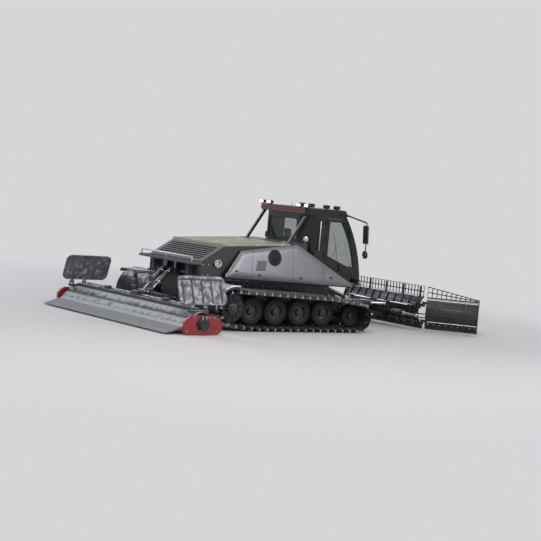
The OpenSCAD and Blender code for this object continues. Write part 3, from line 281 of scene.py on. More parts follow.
def make_finishes(colours, sizes):
    """Every finish, by a maker's plain name."""
    bare = linear("#8b8e92")
    made = {}
    # structural steel under satin paint: soft broad highlights, bare at the rubbed edges
    made["chassis"] = surface("satin painted steel", list(colours.steel), rough=0.48, worn=bare,
                              coat_weight=0.1)
    # forged axle steel, painted: a little lighter than the tub, with a coarse forged skin
    made["axle"] = surface("painted forging", linear("#303236"), rough=0.55, grain=0.3, grain_mm=12,
                           worn=bare)
    # tyre rubber: matte, greyed by dust
    made["tyre"] = surface("tyre rubber", linear("#1c1c1c"), mottle=0.25, mottle_mm=120, rough=0.82,
                           grain=0.4)
    # belt rubber with a pressed fabric face: matte black with a fine weave
    made["belt"] = surface("fabric faced belt rubber", linear("#17181a"), mottle=0.2, rough=0.75, grain=0.5,
                           relief=weave)
    # extruded aluminium, scoured by snow: bright, streaked along its length
    made["cleat"] = surface("extruded aluminium", linear("#c4c7cb"), mottle=0.12, mottle_mm=90,
                            stretch=(1, 0.12, 1), rough=0.36, metallic=1.0)
    # zinc plated fasteners: pale grey metal
    made["bolt"] = surface("zinc plated steel", linear("#a9acae"), rough=0.4, metallic=0.9)
    # cast polyurethane sprocket teeth: dark, with a soft even sheen
    made["sprocket"] = surface("cast polyurethane", linear("#26282b"), rough=0.5, mottle=0.15)
    # sand cast iron: dull, blotched and rough to the touch
    made["iron"] = surface("grey cast iron", linear("#5b5e61"), mottle=0.2, mottle_mm=60, rough=0.7,
                           grain=0.6, grain_mm=9, metallic=0.4)
    # stoved enamel on steel sheet: dark, half gloss
    made["housing"] = surface("stoved enamel", list(colours.housing), rough=0.38, coat_weight=0.3, frost=0.12)
    # metallic paint under clear coat: grey with a sharp reflection on top
    made["panel"] = surface("metallic paint under clear coat", list(colours.panel), mottle=0.05, grain_mm=40,
                            grain=0.02, rough=0.32, metallic=0.7, coat_weight=0.7, coat_roughness=0.16)
    # powder coat: even, with fine orange peel
    made["lid"] = surface("powder coated sheet", list(colours.lid), mottle=0.06, rough=0.45, grain=0.12,
                          grain_mm=8, coat_weight=0.2, frost=0.1)
    # chequer plate, painted: lozenges catch the light and powder snow lies between them
    made["deck"] = surface("painted chequer plate", linear("#54585e"), rough=0.5, grain=0.5, relief=lozenges,
                           frost=sizes.frost)
    # moulded polyethylene: matte black, softly grained, dusted on top
    made["guard"] = surface("moulded polyethylene", linear("#2a2c30"), rough=0.6, grain=0.3, grain_mm=10,
                            frost=sizes.frost)
    # two pack gloss paint: near black under a smooth clear skin
    made["cab"] = surface("gloss two pack paint", list(colours.cab), mottle=0.1, rough=0.32, grain=0.03,
                          coat_weight=0.35, coat_roughness=0.05, specular_ior_level=0.3)
    # gel coat over moulded glass fibre: black, smooth, a little dusted
    made["roof"] = surface("gel coated glass fibre", linear("#111214"), mottle=0.1, rough=0.38,
                           coat_weight=0.2, specular_ior_level=0.3, frost=0.12)
    # tinted toughened glass: green-grey, sharp reflections
    made["glass"] = surface("tinted toughened glass", linear("#3f5249"), mottle=0.04, rough=0.04,
                            rough_spread=0.01, grain=0.0, alpha=0.26, ior=1.52, specular_ior_level=0.9)
    # woven upholstery: matte, with a thread pattern and a faint fuzz at grazing angles
    made["fabric"] = surface("woven upholstery", linear("#3b3e44"), mottle=0.15, rough=0.85, grain=0.6,
                             relief=weave, sheen_weight=0.3)
    # ABS with a leather-like grain: matte dark grey
    made["plastic"] = surface("grained ABS", linear("#1b1c1e"), rough=0.6, grain=0.35, grain_mm=5)
    # extruded rubber seals: black without a highlight
    made["rubber"] = surface("extruded EPDM rubber", linear("#0d0d0e"), rough=0.7)
    # silvered glass: a clean mirror image
    made["mirror"] = surface("silvered glass", linear("#cfd6da"), mottle=0.03, rough=0.04, rough_spread=0.01,
                             grain=0.0, metallic=1.0)
    # a lens with its lamp on: a plain bright face
    made["lens"] = glow("lit polycarbonate lens", "#fff6e6", 1.6)
    # a lens with its lamp off: the silvered bowl shows through
    made["dark_lens"] = surface("clear polycarbonate lens", linear("#c9ced2"), mottle=0.1, mottle_mm=20,
                                rough=0.12, metallic=0.5)
    # coloured lenses, moulded: saturated, under a smooth skin
    made["amber"] = surface("amber polycarbonate", linear("#b4560c"), rough=0.2, coat_weight=0.5)
    made["red_lens"] = surface("red polycarbonate", linear("#7d0f12"), rough=0.2, coat_weight=0.5)
    # display glass with the display off: dark and reflective
    made["screen"] = surface("dark display glass", linear("#101a1e"), mottle=0.3, mottle_mm=60, rough=0.08)
    # brushed aluminium tube: bright, with short streaks
    made["rail"] = surface("brushed aluminium tube", linear("#b9bcc0"), mottle=0.08, stretch=(1, 1, 0.1),
                           mottle_mm=60, rough=0.3, metallic=1.0)
    # blade steel: satin black with bare steel along edges that the snow scours
    made["blade"] = surface("satin painted blade steel", list(colours.steel), mottle=0.2, rough=0.42,
                            worn=bare, coat_weight=0.2, frost=0.1)
    # wear steel scoured by snow: bare, streaked along its length
    made["wear"] = surface("scoured wear steel", linear("#9c9fa2"), mottle=0.18, mottle_mm=80,
                           stretch=(1, 0.2, 1), rough=0.34, metallic=1.0)
    # painted tube steel: dark, with a narrow highlight along the barrel
    made["barrel"] = surface("painted cylinder steel", linear("#1a1b1d"), rough=0.35, coat_weight=0.3)
    # hard chrome: mirror bright
    made["chrome"] = surface("hard chrome", linear("#d4d6d8"), mottle=0.04, rough=0.1, rough_spread=0.03,
                             grain=0.02, metallic=1.0)
    # painted steel under lying snow: grey, bare at the rubbed edges
    made["tiller"] = surface("painted tiller steel", list(colours.tiller), mottle=0.15, rough=0.5, worn=bare,
                             frost=sizes.frost)
    # sheet steel caked with powder snow, on upright faces too
    made["caked"] = surface("painted sheet with clinging snow", linear("#5c5f64"), mottle=0.2, rough=0.6,
                            frost=sizes.frost, drift=-0.02)
    # signal enamel: clear red, chipped to steel at the edges
    made["red"] = surface("signal red enamel", list(colours.end_plate), rough=0.38, mottle=0.12, worn=bare,
                          coat_weight=0.4)
    # enamelled trim: a dull reddish brown band
    made["brown"] = surface("brown trim enamel", linear("#5e2420"), rough=0.45, coat_weight=0.2)
    # cast polyurethane sheet: grey, ribbed, powder snow in its hollows
    made["mat"] = surface("cast polyurethane sheet", list(colours.mat), mottle=0.2, rough=0.62, grain=0.5,
                          relief=ribs, frost=sizes.frost, drift=-0.2)
    return made


CAD_FINISH = {
    "chassis": ["chassis_frame", "side_sills"], "axle": ["wheel_axles"], "sprocket": ["drive_sprockets"],
    "iron": ["engine_block"], "housing": ["engine_housing"], "panel": ["side_panels"], "deck": ["rear_deck"],
    "guard": ["mudguards"], "cab": ["cab_shell", "door_left", "door_right", "rollover_struts"],
    "roof": ["cab_roof"], "glass": ["cab_glass", "door_glass_left", "door_glass_right"],
    "plastic": ["console", "mirrors", "work_lights"], "fabric": ["seats"], "rail": ["handrails"],
    "lid": ["hood_lid"], "belt": ["track_left", "track_right"], "tyre": ["road_wheels"],
    "blade": ["blade_lift_frame", "blade_turn_frame", "blade_tilt_frame", "moldboard", "wing_left",
              "wing_right"],
    "barrel": ["blade_lift_barrels", "angle_barrel_left", "angle_barrel_right", "wing_barrel_left",
               "wing_barrel_right", "tiller_lift_barrels", "tiller_motors"],
    "chrome": ["blade_lift_rods", "angle_rod_left", "angle_rod_right", "wing_rod_left", "wing_rod_right",
               "tiller_lift_rods"],
    "tiller": ["tiller_lift_frame", "tiller_housing", "tiller_rotor"],
    "caked": ["side_finisher_left", "side_finisher_right"],
    "red": ["tiller_end_plates"], "mat": ["finisher"],
}
# CAD pieces whose edges stay sharp: the panes, the lift rods, and some that a piece of this script stands for
SHARP = ["cab_glass", "door_glass_left", "door_glass_right", "road_wheels", "track_left", "track_right",
         "blade_lift_rods", "tiller_rotor", "finisher", "seats"]
FINISH = {}


# Shapes

FORWARD, OUTWARD, UP = (1, 0, 0), (0, 1, 0), (0, 0, 1)
ORIGIN = (0, 0, 0)


def moved(x, y, z):
    return Matrix.Translation((x, y, z))


def rotated(degrees, axis):
    return Matrix.Rotation(math.radians(degrees), 4, axis)


def mirrored(side):
    """Leaves the machine's left as it is, for a side of 1, or puts it on the right, for -1."""
    return Matrix.Diagonal((1, side, 1, 1))


def around(centre, r, degrees):
    """A point on a circle, as two coordinates."""
    a = math.radians(degrees)
    return centre[0] + r * math.cos(a), centre[1] + r * math.sin(a)


def round_edges(made, width, limit, merge=False):
    """Rounds an object's edges, after joining the faces of a CAD piece where asked."""
    if merge:
        joined = made.modifiers.new("joined faces", "WELD")
        joined.merge_threshold = 0.00005
    edges = made.modifiers.new("rounded edges", "BEVEL")
    edges.width = width
    edges.segments = 2
    edges.limit_method = "ANGLE"
    edges.angle_limit = math.radians(limit)
    edges.harden_normals = True


class Form:
    """One piece's faces as they are built, in millimetres in the machine's frame."""

    def __init__(self):
        self.points, self.faces, self.paints = [], [], []
        self.place = Matrix.Identity(4)

    def add(self, points, faces, paint):
        base = len(self.points)
        self.points += [self.place @ Vector(p) for p in points]
        self.faces += [[base + k for k in face] for face in faces]
        self.paints += [paint] * len(faces)

    def box(self, x0, x1, y0, y1, z0, z1, paint=0):
        points = [(x, y, z) for x in (x0, x1) for y in (y0, y1) for z in (z0, z1)]
        self.add(points, [(0, 1, 3, 2), (4, 6, 7, 5), (0, 4, 5, 1), (2, 3, 7, 6), (0, 2, 6, 4), (1, 5, 7, 3)],
                 paint)

    def prism(self, outline, low, high, along="y", paint=0):
        """An outline pushed from low to high along one axis; the outline's pairs are the other two axes."""
        n = len(outline)
        lift = {"x": lambda a, b, c: (c, a, b), "y": lambda a, b, c: (a, c, b),
                "z": lambda a, b, c: (a, b, c)}
        points = [lift[along](a, b, c) for c in (low, high) for a, b in outline]
        sides = [(k, (k + 1) % n, n + (k + 1) % n, n + k) for k in range(n)]
        self.add(points, [tuple(range(n)), tuple(range(n, 2 * n))] + sides, paint)

    def turned(self, profile, foot, along, steps=32, paint=0):
        """A profile of (distance along the axis, radius) pairs turned about the axis."""
        turn = Vector(along).normalized().to_track_quat("Z", "Y").to_matrix().to_4x4()
        turn = Matrix.Translation(foot) @ turn
        points, faces, rings = [], [], []
        for d, r in profile:
            if r == 0:
                rings.append([len(points)] * steps)
                points.append(turn @ Vector((0, 0, d)))
            else:
                rings.append([len(points) + k for k in range(steps)])
                points += [turn @ Vector((r * math.cos(a), r * math.sin(a), d))
                           for a in (2 * math.pi * k / steps for k in range(steps))]
        for low, high in zip(rings, rings[1:]):
            for k in range(steps):
                j = (k + 1) % steps
                face = [low[k], low[j], high[j], high[k]]
                faces.append([p for i, p in enumerate(face) if p != face[i - 1]])
        self.add(points, faces, paint)

    def disc(self, r, thick, foot, along, steps=16, paint=0):
        """A round flat head that stands on a face."""
        self.turned([(0, r), (thick, r), (thick, 0)], foot, along, steps, paint)

    def rod(self, start, end, radius, steps=16, paint=0):
        way = Vector(end) - Vector(start)
        self.turned([(0, 0), (0, radius), (way.length, radius), (way.length, 0)], start, way, steps, paint)

    def tube(self, path, radius, steps=10, closed=False, paint=0):
        """A round tube along a path, mitred at its corners."""
        path = [Vector(p) for p in path]
        n = len(path)
        points, faces = [], []
        side = None
        for k, p in enumerate(path):
            before = path[k - 1] if k or closed else p
            after = path[(k + 1) % n] if k < n - 1 or closed else p
            into, out = (p - before), (after - p)
            into = into.normalized() if into.length else out.normalized()
            out = out.normalized() if out.length else into
            way = (into + out).normalized()
            if side is None:
                side = way.orthogonal().normalized()
            side = (side - way * side.dot(way)).normalized()
            up = way.cross(side)
            bend = (out - into)
            stretch = 1 / max(0.5, way.dot(into))
            for j in range(steps):
                a = 2 * math.pi * j / steps
                off = side * math.cos(a) + up * math.sin(a)
                if bend.length > 1e-6:
                    across = bend.normalized()
                    off += across * off.dot(across) * (stretch - 1)
                points.append(p + off * radius)
        for k in range(n if closed else n - 1):
            for j in range(steps):
                a, b = k * steps, ((k + 1) % n) * steps
                faces.append((a + j, a + (j + 1) % steps, b + (j + 1) % steps, b + j))
        if not closed:
            faces.append(tuple(range(steps)))
            faces.append(tuple((n - 1) * steps + j for j in range(steps)))
        self.add(points, faces, paint)

    def bolt(self, at, along, size=34, paint=0):
        """A hexagon head on its washer; size is the head's width across its corners."""
        washer_r, washer_t = size * 0.62, size * 0.1
        head_r, shoulder, top = size * 0.5, size * 0.42, size * 0.48
        self.disc(washer_r, washer_t, at, along, 12, paint)
        self.turned([(washer_t, head_r), (shoulder, head_r), (top, shoulder), (top, 0)], at, along, 6, paint)

    def bolt_circle(self, centre, axis, r, count, size, paint=0, start=0):
        """Bolts on a circle about a line along one axis; start is the first one's turn in degrees."""
        way = Vector((0, 0, 0))
        way[axis] = 1
        for k in range(count):
            u, w = around((0, 0), r, start + 360 * k / count)
            off = {X: (0, u, w), Y: (u, 0, w), Z: (u, w, 0)}[axis]
            self.bolt(Vector(centre) + Vector(off), way, size, paint)

    def both_sides(self):
        """Runs twice: once as drawn and once mirrored to the machine's right."""
        kept = self.place
        for side in (1, -1):
            self.place = mirrored(side) @ kept
            yield side
        self.place = kept


def finish_piece(name, form, body, finishes, bevel=0, stands_for=(), crown=False):
    """Makes the piece's object in metres, with its finishes, on its body."""
    mesh = bpy.data.meshes.new(name)
    mesh.from_pydata([p * MM for p in form.points], [], form.faces)
    for finish in finishes:
        mesh.materials.append(FINISH[finish])
    mesh.polygons.foreach_set("material_index", form.paints)
    shape = bmesh.new()
    shape.from_mesh(mesh)
    bmesh.ops.recalc_face_normals(shape, faces=shape.faces)
    shape.to_mesh(mesh)
    shape.free()
    mesh.shade_smooth()
    mesh.set_sharp_from_angle(angle=math.radians(38))
    made = bpy.data.objects.new(name, mesh)
    bpy.context.scene.collection.objects.link(made)
    if bevel:
        round_edges(made, bevel * MM, 40)
    if crown:
        soft = made.modifiers.new("crowned form", "SUBSURF")
        soft.levels = soft.render_levels = 2
    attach(made, body)
    if stands_for:
        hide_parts(*stands_for)
    return made


# Track loop, as in the part's source: the middle and radius of each wheel that the belt runs round

LOOP = [(-2560, 515, 339), (300, 420, 320), (1180, 370, 270), (-1800, 420, 320)]
BELT_T = 22
BELT_W = 600
CLEAT_PITCH, CLEAT_H = 220, 78


def loop_parts():
    """Each wheel's wrap and the run after it: (centre, radius, from angle, wrap, run length, run angle)."""
    n = len(LOOP)

    def run_after(k):
        (x, z, r), (u, w, q) = LOOP[k % n], LOOP[(k + 1) % n]
        span = math.hypot(u - x, w - z)
        return math.atan2(w - z, u - x) + math.acos((r - q) / span), math.sqrt(span ** 2 - (r - q) ** 2)

    parts = []
    for k in range(n):
        start, (angle, run) = run_after(k - 1)[0], run_after(k)
        wrap = (start - angle) % (2 * math.pi)
        parts.append((LOOP[k][:2], LOOP[k][2], start, wrap, run, angle))
    return parts


def belt_line(lift, step_deg=5):
    """Points round the loop, lift above the belt's inner face."""
    line = []
    for (x, z), r, start, wrap, *_ in loop_parts():
        steps = max(2, math.ceil(math.degrees(wrap) / step_deg))
        for k in range(steps + 1):
            a = start - wrap * k / steps
            line.append((x + (r + lift) * math.cos(a), z + (r + lift) * math.sin(a)))
    return line


def cleat_places():
    """Where each cleat stands on the belt's outer face: x, z and its outward angle."""
    parts = loop_parts()
    total = sum((r + BELT_T) * wrap + run for _, r, _, wrap, run, _ in parts)
    count = round(total / CLEAT_PITCH)
    places = []
    for k in range(count):
        s = (k + 0.5) * total / count
        for (x, z), r, start, wrap, run, angle in parts:
            outer = r + BELT_T
            if s <= outer * wrap:
                a = start - s / outer
                places.append((x + outer * math.cos(a), z + outer * math.sin(a), a))
                break
            s -= outer * wrap
            if s <= run:
                places.append((x + outer * math.cos(angle) + s * math.sin(angle),
                               z + outer * math.sin(angle) - s * math.cos(angle), angle))
                break
            s -= run
    return places


class GROOMER_OT_finishes(bpy.types.Operator):
    """Make every finish and put them on the carried-over CAD pieces"""
    bl_idname = "groomer.finishes"
    bl_label = "Finishes"

    def execute(self, context):
        FINISH.update(make_finishes(context.scene.groomer_colours, context.scene.groomer_sizes))
        for finish, names in CAD_FINISH.items():
            for name in names:
                shape = CAD[name].data
                shape.materials.clear()
                shape.materials.append(FINISH[finish])
                if name not in SHARP:
                    round_edges(CAD[name], context.scene.groomer_sizes.edge * 0.6, 50, merge=True)
        return {"FINISHED"}


class GROOMER_OT_tracks(bpy.types.Operator):
    """Tracks: rubber belts, toothed aluminium cleats and their bolts"""
    bl_idname = "groomer.tracks"
    bl_label = "Tracks"

    def belts(self, form):
        inner, outer = belt_line(0), belt_line(BELT_T)
        n = len(inner)
        for y in (TRACK_IN, TRACK_OUT - BELT_W):
            low, high = y + 1, y + BELT_W - 1
            points, faces = [], []
            for (x, z), (u, w) in zip(inner, outer):
                points += [(x, low, z), (x, high, z), (u, high, w), (u, low, w)]
            for k in range(n):
                a, b = 4 * k, 4 * ((k + 1) % n)
                faces += [(a + j, a + (j + 1) % 4, b + (j + 1) % 4, b + j) for j in range(4)]
            form.add(points, faces, 0)

    def cleat(self, form, tooth):
        """A foot, a web with a toothed tip, the bolts through the belts, and two guides on the inside."""
        top = CLEAT_H - tooth
        y0, y1 = TRACK_IN + 2, TRACK_OUT - 2
        form.prism([(-34, 0), (34, 0), (34, 5), (11, 9), (7, top), (-7, top), (-11, 9), (-34, 5)], y0, y1,
                   "y", 1)
        teeth = 15
        pitch = (y1 - y0) / teeth
        for k in range(teeth):
            y = y0 + (k + 0.5) * pitch
            form.prism([(y - pitch * 0.32, top - 1), (y + pitch * 0.32, top - 1),
                        (y + pitch * 0.2, CLEAT_H - 1), (y - pitch * 0.2, CLEAT_H - 1)], -6, 6, "x", 1)
        for edge, way in ((TRACK_IN, 1), (TRACK_OUT, -1)):
            for inset in (90, 300, 510)[::way]:
                y = edge + way * inset
                form.box(-33, 33, y - 34, y + 34, 5, 11, 2)
                for x in (-23, 23):
                    form.turned([(11, 9), (21, 9), (21, 0)], (x, y, 0), UP, 6, 2)
        for y in (TRACK_IN + 130, TRACK_OUT - 140):
            form.box(-28, 28, y - 55, y + 55, -BELT_T - 6, -BELT_T, 2)

    def execute(self, context):
        tooth = context.scene.groomer_sizes.cleat_tooth / MM
        for name, side in SIDES:
            form = Form()
            form.place = mirrored(side)
            self.belts(form)
            for x, z, angle in cleat_places():
                form.place = mirrored(side) @ moved(x, 0, z) @ rotated(90 - math.degrees(angle), "Y")
                self.cleat(form, tooth)
            finish_piece("track_" + name + "_belts_and_cleats", form, "chassis",
                         ["belt", "cleat", "bolt"], stands_for=["track_" + name])
        return {"FINISHED"}


class GROOMER_OT_wheels(bpy.types.Operator):
    """Road wheels and idlers with grooved tyres, rims and hub bolts; hubs on the sprockets"""
    bl_idname = "groomer.wheels"
    bl_label = "Wheels"

    tyre_rows = (1050, 1640)
    half_w = 95
    # middle and radius of each wheel: four road wheels and the idler in front
    spots = [(300 - 700 * k, 420, 319.6) for k in range(4)] + [(1180, 370, 269.6)]

    def wheel(self, form, x, y, z, r):
        h = self.half_w
        grooves = []
        for g in (-48, 0, 48):
            grooves += [(g - 9, r), (g - 6, r - 11), (g + 6, r - 11), (g + 9, r)]
        side = [(-h + 12, r * 0.60), (-h, r * 0.72), (-h + 3, r * 0.9), (-h + 22, r - 6), (-h + 40, r)]
        tyre = side + grooves + [(-d, q) for d, q in reversed(side)]
        form.turned(tyre, (x, y, z), OUTWARD, 40, 0)
        dish = [(-h + 12, r * 0.61), (-h + 16, r * 0.55), (-30, r * 0.5), (-14, r * 0.34), (-14, 84)]
        form.turned(dish + [(-d, q) for d, q in reversed(dish)], (x, y, z), OUTWARD, 40, 1)
        form.bolt_circle((x, y + 14, z), Y, 108, 8, 22, 2)

    def road_wheels(self):
        form = Form()
        for side in form.both_sides():
            for x, z, r in self.spots:
                for y in self.tyre_rows:
                    self.wheel(form, x, y, z, r)
                form.turned([(0, 0), (90, 0), (90, 84), (826, 84), (833, 70), (833, 0)], (x, 900, z),
                            OUTWARD, 24, 1)
        finish_piece("road_wheels_and_idlers", form, "chassis", ["tyre", "axle", "bolt"],
                     stands_for=["road_wheels"])

    def sprocket_caps(self):
        hub, bolts, rubber, pocket = range(4)
        foot = (SPROCKET[0], SPROCKET_OUT, SPROCKET[1])
        spokes = 10
        form = Form()
        for side in form.both_sides():
            form.turned([(0, 118), (22, 118), (30, 96), (58, 88), (66, 70), (66, 0)], foot, OUTWARD, 32,
                        hub)
            kept = form.place
            for k in range(spokes):
                turn = 360 * k / spokes
                u, w = around(SPROCKET, 104, turn)
                form.bolt((u, SPROCKET_OUT + 22, w), OUTWARD, 20, bolts)
                # a rib and a lightening pocket between each pair of teeth
                form.place = kept @ moved(*foot) @ rotated(turn, "Y")
                form.prism([(130, -9), (292, -14), (292, 14), (130, 9)], -1, 11, "y", rubber)
                form.prism([(165, 24), (270, 46), (262, 84), (222, 100), (158, 66)], 0.2, 2, "y", pocket)
                form.place = kept
            form.turned([(-1, 304), (9, 304), (9, 290), (-1, 290)], foot, OUTWARD, 60, rubber)
        finish_piece("sprocket_hub_caps", form, "chassis",
                     ["axle", "bolt", "sprocket", "rubber"])

    def execute(self, context):
        self.road_wheels()
        self.sprocket_caps()
        return {"FINISHED"}


# Side panels, as in the part's source: corners as x and height; the skin's depth by distance from the edge

PANEL_CORNERS = [(-2200, 130), (-1780, 700), (-160, 910), (1520, 20)]
PANEL_SKIN = [(0, -38), (5, -31), (14, -26), (96, -4), (112, -1.2), (180, -0.4), (280, 0)]
PANEL_CORNER_R = 40
PANEL_BACK = -40


def panel_sides():
    """Each side's corner and outward direction."""
    sides = []
    for k, (x, h) in enumerate(PANEL_CORNERS):
        u, w = PANEL_CORNERS[(k + 1) % len(PANEL_CORNERS)]
        span = math.hypot(u - x, w - h)
        sides.append((Vector((x, h)), Vector((h - w, u - x)) / span))
    return sides


def panel_ring(inset, steps=6):
    """The panel's outline moved in from its edge, its corners kept round."""
    sides = panel_sides()
    ring = []
    for k, (corner, after) in enumerate(sides):
        before = sides[k - 1][1]
        centre = corner - (before + after) * inset / (1 + before.dot(after))
        start = math.atan2(before.y, before.x)
        turn = (start - math.atan2(after.y, after.x)) % (2 * math.pi)
        for j in range(steps + 1):
            a = start - turn * j / steps
            ring.append((centre.x + PANEL_CORNER_R * math.cos(a), centre.y + PANEL_CORNER_R * math.sin(a)))
    return ring


def panel_depth(x, h):
    """How far the pressed skin lies behind the panel's outer plane."""
    inset = min((corner - Vector((x, h))).dot(way) for corner, way in panel_sides()) + PANEL_CORNER_R
    for (a, low), (b, high) in zip(PANEL_SKIN, PANEL_SKIN[1:]):
        if inset <= b:
            return low + (high - low) * max(0, inset - a) / (b - a)
    return PANEL_SKIN[-1][1]


class GROOMER_OT_panels(bpy.types.Operator):
    """Pressed side panels with their seams, vents and latches, the sills under them and the rear lamps"""
    bl_idname = "groomer.panels"
    bl_label = "Side panels"

    lean = moved(*PANEL_FOOT) @ rotated(PANEL_LEAN, "X")
    seams = ((-1500, 118, 770), (-300, 78, 925), (620, 58, 535))
    latches = ((-1950, 260), (-1290, 180), (-60, 150), (860, 190))
    badge = (-850, 0, 605)

    def trim(self):
        form = Form()
        for side in form.both_sides():
            form.place = form.place @ self.lean
            for x, low, high in self.seams:
                form.tube([(x, panel_depth(x, h) - 1, h) for h in range(low, high, 22)], 3.5, 6, paint=0)
            form.tube([(-2200, -30, 92), (1520, -30, -18)], 14, 8, paint=0)
            for x, h in self.latches:
                form.box(x - 42, x + 42, -3, 3, h - 20, h + 20, 1)
                form.box(x - 34, x + 34, 3, 8, h - 6, h + 6, 0)
            # the vent's louvres, each a little further forward than the one below
            for k in range(9):
                h = 290 + 27 * k
                form.prism([(-2, h), (5, h), (-2, h + 22)], -1400 + 5 * k, -1120 + 5 * k, "x", 1)
            form.turned([(-12, 195), (3, 195), (6, 190), (6, 0)], self.badge, OUTWARD, 48, 0)
            form.turned([(6, 166), (9, 162), (9, 150), (6, 146)], self.badge, OUTWARD, 48, 1)
        finish_piece("side_panel_trim", form, "chassis", ["rubber", "plastic"])

    def pressings(self):
        form = Form()
        for side in form.both_sides():
            for x in (-1900, -600, 1150):
                form.box(x - 40, x + 40, SILL_SKIN, 1209, 1151, 1209, 1)
            form.place = form.place @ self.lean
            rings = [[(x, PANEL_BACK, h) for x, h in panel_ring(0)]]
            rings += [[(x, y, h) for x, h in panel_ring(inset)] for inset, y in PANEL_SKIN]
            n = len(rings[0])
            faces = [tuple(range(n)), tuple((len(rings) - 1) * n + j for j in range(n))]
            for k in range(len(rings) - 1):
                faces += [(k * n + j, k * n + (j + 1) % n, (k + 1) * n + (j + 1) % n, (k + 1) * n + j)
                          for j in range(n)]
            form.add([p for ring in rings for p in ring], faces, 0)
        finish_piece("pressed_side_panels", form, "chassis", ["panel", "chassis"],
                     stands_for=["side_panels"])

    def sills(self):
        cover_t, pad_t = 5.5, 5
        form = Form()
        for side in form.both_sides():
            form.box(-2150, 1450, SILL_SKIN, SILL_SKIN + cover_t, 1075, 1230, 0)
            for x in range(-2000, 1400, 425):
                form.box(x, x + 300, SILL_SKIN + cover_t, SILL_SKIN + cover_t + pad_t, 1100, 1205, 1)
            for x in range(-2100, 1400, 250):
                form.bolt((x, SILL_SKIN + cover_t, 1087), OUTWARD, 18, 2)
        finish_piece("sill_covers", form, "chassis", ["plastic", "chassis", "bolt"], bevel=4)

    def ring_lamps(self):
        form = Form()
        for side in form.both_sides():
            form.place = form.place @ moved(*LAMP_WELL) @ rotated(-90, "X")
            form.turned([(15, 0), (16, 56), (24, 60), (24, 0)], ORIGIN, UP, 32, 0)
            form.turned([(0.5, 62), (50, 64), (55, 70), (55, 92), (48, 96), (0.5, 97)], (0, 0, 0),
                        UP, 32, 1)
        finish_piece("ring_lamps", form, "chassis", ["dark_lens", "rail"])

    def execute(self, context):
        self.trim()
        self.pressings()
        self.sills()
        self.ring_lamps()
        return {"FINISHED"}


class GROOMER_OT_hood(bpy.types.Operator):
    """Lid vents, seams, handles and hinge bolts, and the housing's bolts and grilles"""
    bl_idname = "groomer.hood"
    bl_label = "Engine hood"

    # the lid rises by 120 over 2420, and would be 2010 high at x = 170
    lid_rise, lid_run, lid_front_x, lid_front_z = 120, 2420, 170, 2010

    def top(self, x):
        return self.lid_front_z + (x - self.lid_front_x) * self.lid_rise / self.lid_run

    def vents(self):
        top = self.top
        slope = math.degrees(math.atan2(self.lid_rise, self.lid_run))
        form = Form()
        for y in (-560, 560):
            for k in range(14):
                x = -1900 + 75 * k
                form.place = moved(x, y, top(x)) @ rotated(-slope, "Y")
                form.prism([(-26, -2), (26, -2), (20, 9), (-6, 12)], -230, 230, "y", 0)
                form.box(22, 40, -224, 224, -1, 1, 1)
        form.place = Matrix.Identity(4)
        for y in (-880, 0, 880):
            form.tube([(x, y, top(x) + 0.5) for x in (-2235, -350)], 3, 6, paint=1)
        x = -2150
        low, high = top(x), top(x) + 34
        for y in (-700, 700):
            form.tube([(x, y - 75, low), (x, y - 75, high), (x, y + 75, high), (x, y + 75, low)], 9, 8,
                      paint=2)
        for y in (-1087, 1085):
            for x in (-2050, -1300, -600):
                form.box(x - 40, x + 40, y, y + 2, top(x) - 36, top(x) - 10, 2)
        finish_piece("hood_lid_vents", form, "hood_lid", ["lid", "rubber", "rail"])

    def grilles(self):
        skin = HOUSING_OUT
        form = Form()
        for side in form.both_sides():
            for k in range(6):
                z = 1300 + 40 * k
                form.prism([(skin, z), (skin + 8, z), (skin, z + 30)], -2330 + 52 * k, -2230 + 60 * k, "x", 0)
            for x in (-2800, -2650):
                for z in (1160, 1400):
                    form.bolt((x, skin, z), OUTWARD, 24, 1)
            form.box(-200, -60, skin, skin + 3, 1940, 1985, 0)
        finish_piece("housing_grilles", form, "chassis", ["plastic", "bolt"])

    def engine(self):
        form = Form()
        for k in range(6):
            x = -1750 + 230 * k
            form.turned([(0, 78), (40, 78), (52, 66), (52, 0)], (x, 150, 1500), UP, 20, 0)
            form.tube([(x, 160, 1530), (x, 300, 1520), (x, 345, 1420)], 26, 8, paint=1)
        form.turned([(0, 250), (30, 250), (34, 60), (70, 55), (70, 0)], (-500, 0, 1150), FORWARD, 28, 1)
        form.tube([(-1900, -180, 1500), (-1900, -180, 1600), (-1500, -200, 1640), (-900, -200, 1620),
                   (-800, -200, 1500)], 55, 12, paint=2)
        form.rod((-1500, -330, 1080), (-1500, -360, 1080), 90, 20, 1)
        finish_piece("engine_covers_and_pipes", form, "chassis", ["iron", "chassis", "rail"])

    def execute(self, context):
        self.vents()
        self.grilles()
        self.engine()
        return {"FINISHED"}


